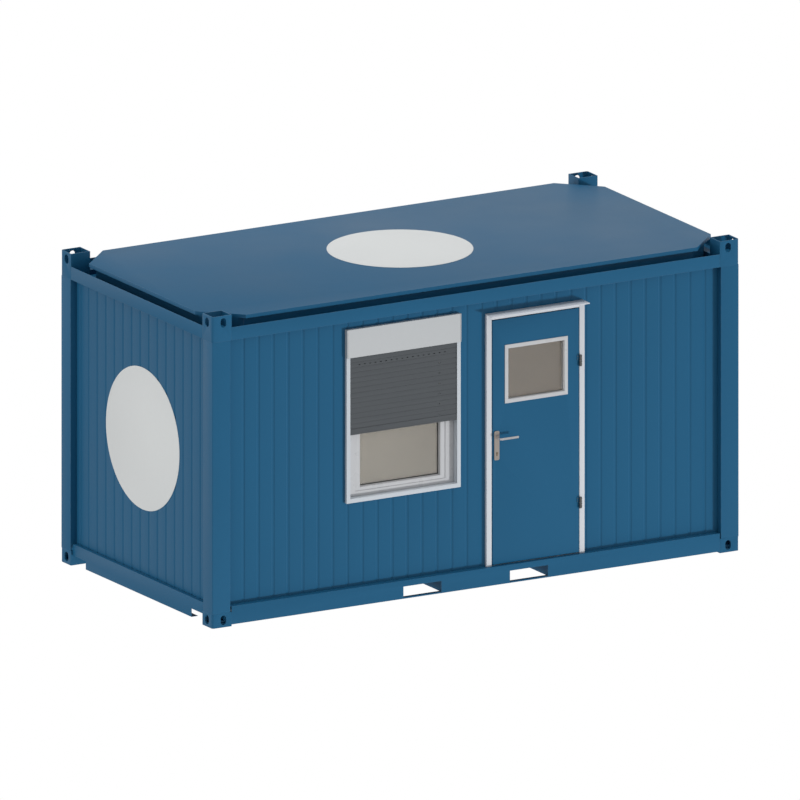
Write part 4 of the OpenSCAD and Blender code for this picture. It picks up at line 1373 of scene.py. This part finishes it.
# %% Rivets of the signs and screws of the boards
sign_low, sign_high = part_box("sign_discs")
SIGN_RIVETS = 12
sign_r = (sign_high.y - sign_low.y) / 2 - 28 * MM
rivet_spots = []
for i in range(SIGN_RIVETS):
    turn = 2 * math.pi * (i + 0.5) / SIGN_RIVETS
    a, b = sign_r * math.cos(turn), sign_r * math.sin(turn)
    rivet_spots.append(((a, b, sign_high.z), (0, 0, 1)))
    rivet_spots.append(((sign_low.x, a, top / 2 + b), (-1, 0, 0)))
fixings("sign_rivets", RIVET, rivet_spots, "sign_white", "cabin", seed=8)

BOARD_SCREW_Z = [floor_z + rise for rise in (0.35, 1.25, 2.15)]
run_x, run_y = room_x - 0.12, room_y - 0.12
board_spots = []
for x in (-room_x, room_x):
    facing_in = (math.copysign(1, -x), 0, 0)
    for z in BOARD_SCREW_Z:
        board_spots += [(point, facing_in) for point in line_of((x, -run_y, z), (x, run_y, z), 5)]
for z in BOARD_SCREW_Z:
    board_spots += [(point, OUT) for point in line_of((-run_x, room_y, z), (run_x, room_y, z), 10)]
fixings("board_screws", SCREW, board_spots, "white_plastic", "cabin", seed=9)

# %% Grip ribs of the threshold
sill_low, sill_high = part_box("threshold")
RIB_W, RIB_H, RIB_STEP, RIB_END = 2.4 * MM, 0.9 * MM, 7 * MM, 10 * MM
tread_z = sill_low.z + 4 * MM
rib_run = leaf_high.y - leaf_low.y
ribs = grow(
    board_tree,
    "grip_ribs",
    {
        "Length": rib_run,
        "Height": RIB_H * 2,
        "Thickness": sill_high.x - sill_low.x - 2 * RIB_END,
        "Board width": RIB_STEP,
        "Gap": RIB_STEP - RIB_W,
        "Finish": finishes["bare_aluminium"],
    },
    rounding=0.5 * MM,
)
ribs.data.transform(
    Matrix.Translation((sill_low.x + RIB_END, leaf_low.y + 4 * MM, tread_z - RIB_H))
    @ Matrix.Rotation(math.pi / 2, 4, "Z")
)
place_piece(ribs, "bare_aluminium", "cabin")

# %% [markdown]
# ## CAD nodes that stay as they are
# The floor sheet and the sheet under it are flat plates whose edges never show, so they keep
# their CAD mesh and only get a finish.

# %% Finish the remaining nodes
for name, finish in (("under_sheet", "zinc"), ("floor_deck", "floor_board")):
    node = frame["nodes"][name]
    node.data.materials.clear()
    node.data.materials.append(finishes[finish])
shown = [name for name, node in frame["nodes"].items() if not node.hide_render]
print("CAD nodes shown:", shown)

# %% [markdown]
# ## Floor, light and camera
# The cabin stands on a plain pale floor in an even white studio. The sky lights it from all
# round, also from below, as a white floor does, so the floor sheet itself is only a backdrop
# for the camera. Wide distant lamps add to that: one from above, one low in front on the
# right, which models the grooves and the handle, and one for each other side. They don't
# show in the paint's gloss, which mirrors only the even sky.

# %% Floor
FLOOR_SIZE = 80.0
reach = FLOOR_SIZE / 2
floor_mesh = bpy.data.meshes.new("studio_floor")
corners = [(-reach, -reach), (reach, -reach), (reach, reach), (-reach, reach)]
floor_mesh.from_pydata([(x, y, -0.5 * MM) for x, y in corners], [], [(0, 1, 2, 3)])
floor = new_object("studio_floor", floor_mesh)
floor.visible_diffuse = floor.visible_glossy = floor.visible_shadow = False
ground = Finish("studio_ground", Roughness=0.9, Specular_IOR_Level=0.0)
ground.shader.inputs["Base Color"].default_value = (0.0, 0.0, 0.0, 1.0)
ground.shader.inputs["Emission Color"].default_value = (1.0, 1.0, 1.0, 1.0)
ground.shader.inputs["Emission Strength"].default_value = 1.0
behind = ground.node("ShaderNodeNewGeometry", None, None, "Backfacing")
clear = ground.node("ShaderNodeBsdfTransparent")
seen = ground.node(
    "ShaderNodeMixShader", None, {0: behind, 1: Wire(ground, ground.shader.outputs[0]), 2: clear}
)
ground.tree.links.new(seen.socket, ground.tree.nodes["Material Output"].inputs[0])
floor_mesh.materials.append(ground.material)

# %% Sky
SKY = 0.56
world = bpy.data.worlds.new("studio")
bpy.context.scene.world = world
world.use_nodes = True
sky = Graph(world.node_tree)
seen_by_camera = sky.node("ShaderNodeLightPath", None, None, "Is Camera Ray")
strength = sky.fit(seen_by_camera, 0.0, 1.0, SKY, 1.0)
sky.tree.links.new(strength.socket, world.node_tree.nodes["Background"].inputs["Strength"])
world.node_tree.nodes["Background"].inputs["Color"].default_value = (1.0, 1.0, 1.0, 1.0)


# %% Lamps
def sun(name, way, power, softness):
    """A distant lamp that shines from a direction, so that every wall is lit evenly."""
    light = bpy.data.lights.new(name, "SUN")
    light.energy, light.angle = power, math.radians(softness)
    made = new_object(name, light)
    made.rotation_euler = Vector(way).to_track_quat("Z", "Y").to_euler()
    made.visible_glossy = False
    return made


sun("overhead_lamp", (0.0, 0.0, 1.0), 1.40, 20.0)
sun("front_lamp", (0.80, -1.00, -0.45), 1.85, 6.0)
sun("left_lamp", (-1.0, 0.12, -0.05), 1.0, 12.0)
sun("back_lamp", (0.10, 1.0, 0.10), 1.15, 20.0)

# %% A lamp inside, so that the room shows through the panes
room_light = bpy.data.lights.new("room_lamp", "AREA")
room_light.shape, room_light.size, room_light.size_y = "RECTANGLE", 2.0, 1.4
room_light.energy = 115.0
room_lamp = new_object("room_lamp", room_light)
room_lamp.location = (-1.1, -0.1, ceiling_z - 0.02)
room_lamp.visible_glossy = room_lamp.visible_camera = False
middle = Vector((0.0, 0.0, top / 2))

# %% Camera
AZIMUTH, ELEVATION = math.radians(-30.0), math.radians(15.0)
FRAME_WIDTH = 6.427
CAMERA_REACH = 14.0
lens = bpy.data.cameras.new("camera")
lens.type, lens.ortho_scale = "ORTHO", FRAME_WIDTH
lens.clip_end = 100.0
camera = new_object("camera", lens)
back = Vector(
    (
        math.sin(AZIMUTH) * math.cos(ELEVATION),
        -math.cos(AZIMUTH) * math.cos(ELEVATION),
        math.sin(ELEVATION),
    )
)
camera.location = middle + back * CAMERA_REACH
camera.rotation_euler = (-back).to_track_quat("-Z", "Y").to_euler()
bpy.context.scene.camera = camera
bpy.context.scene.view_settings.view_transform = "Standard"
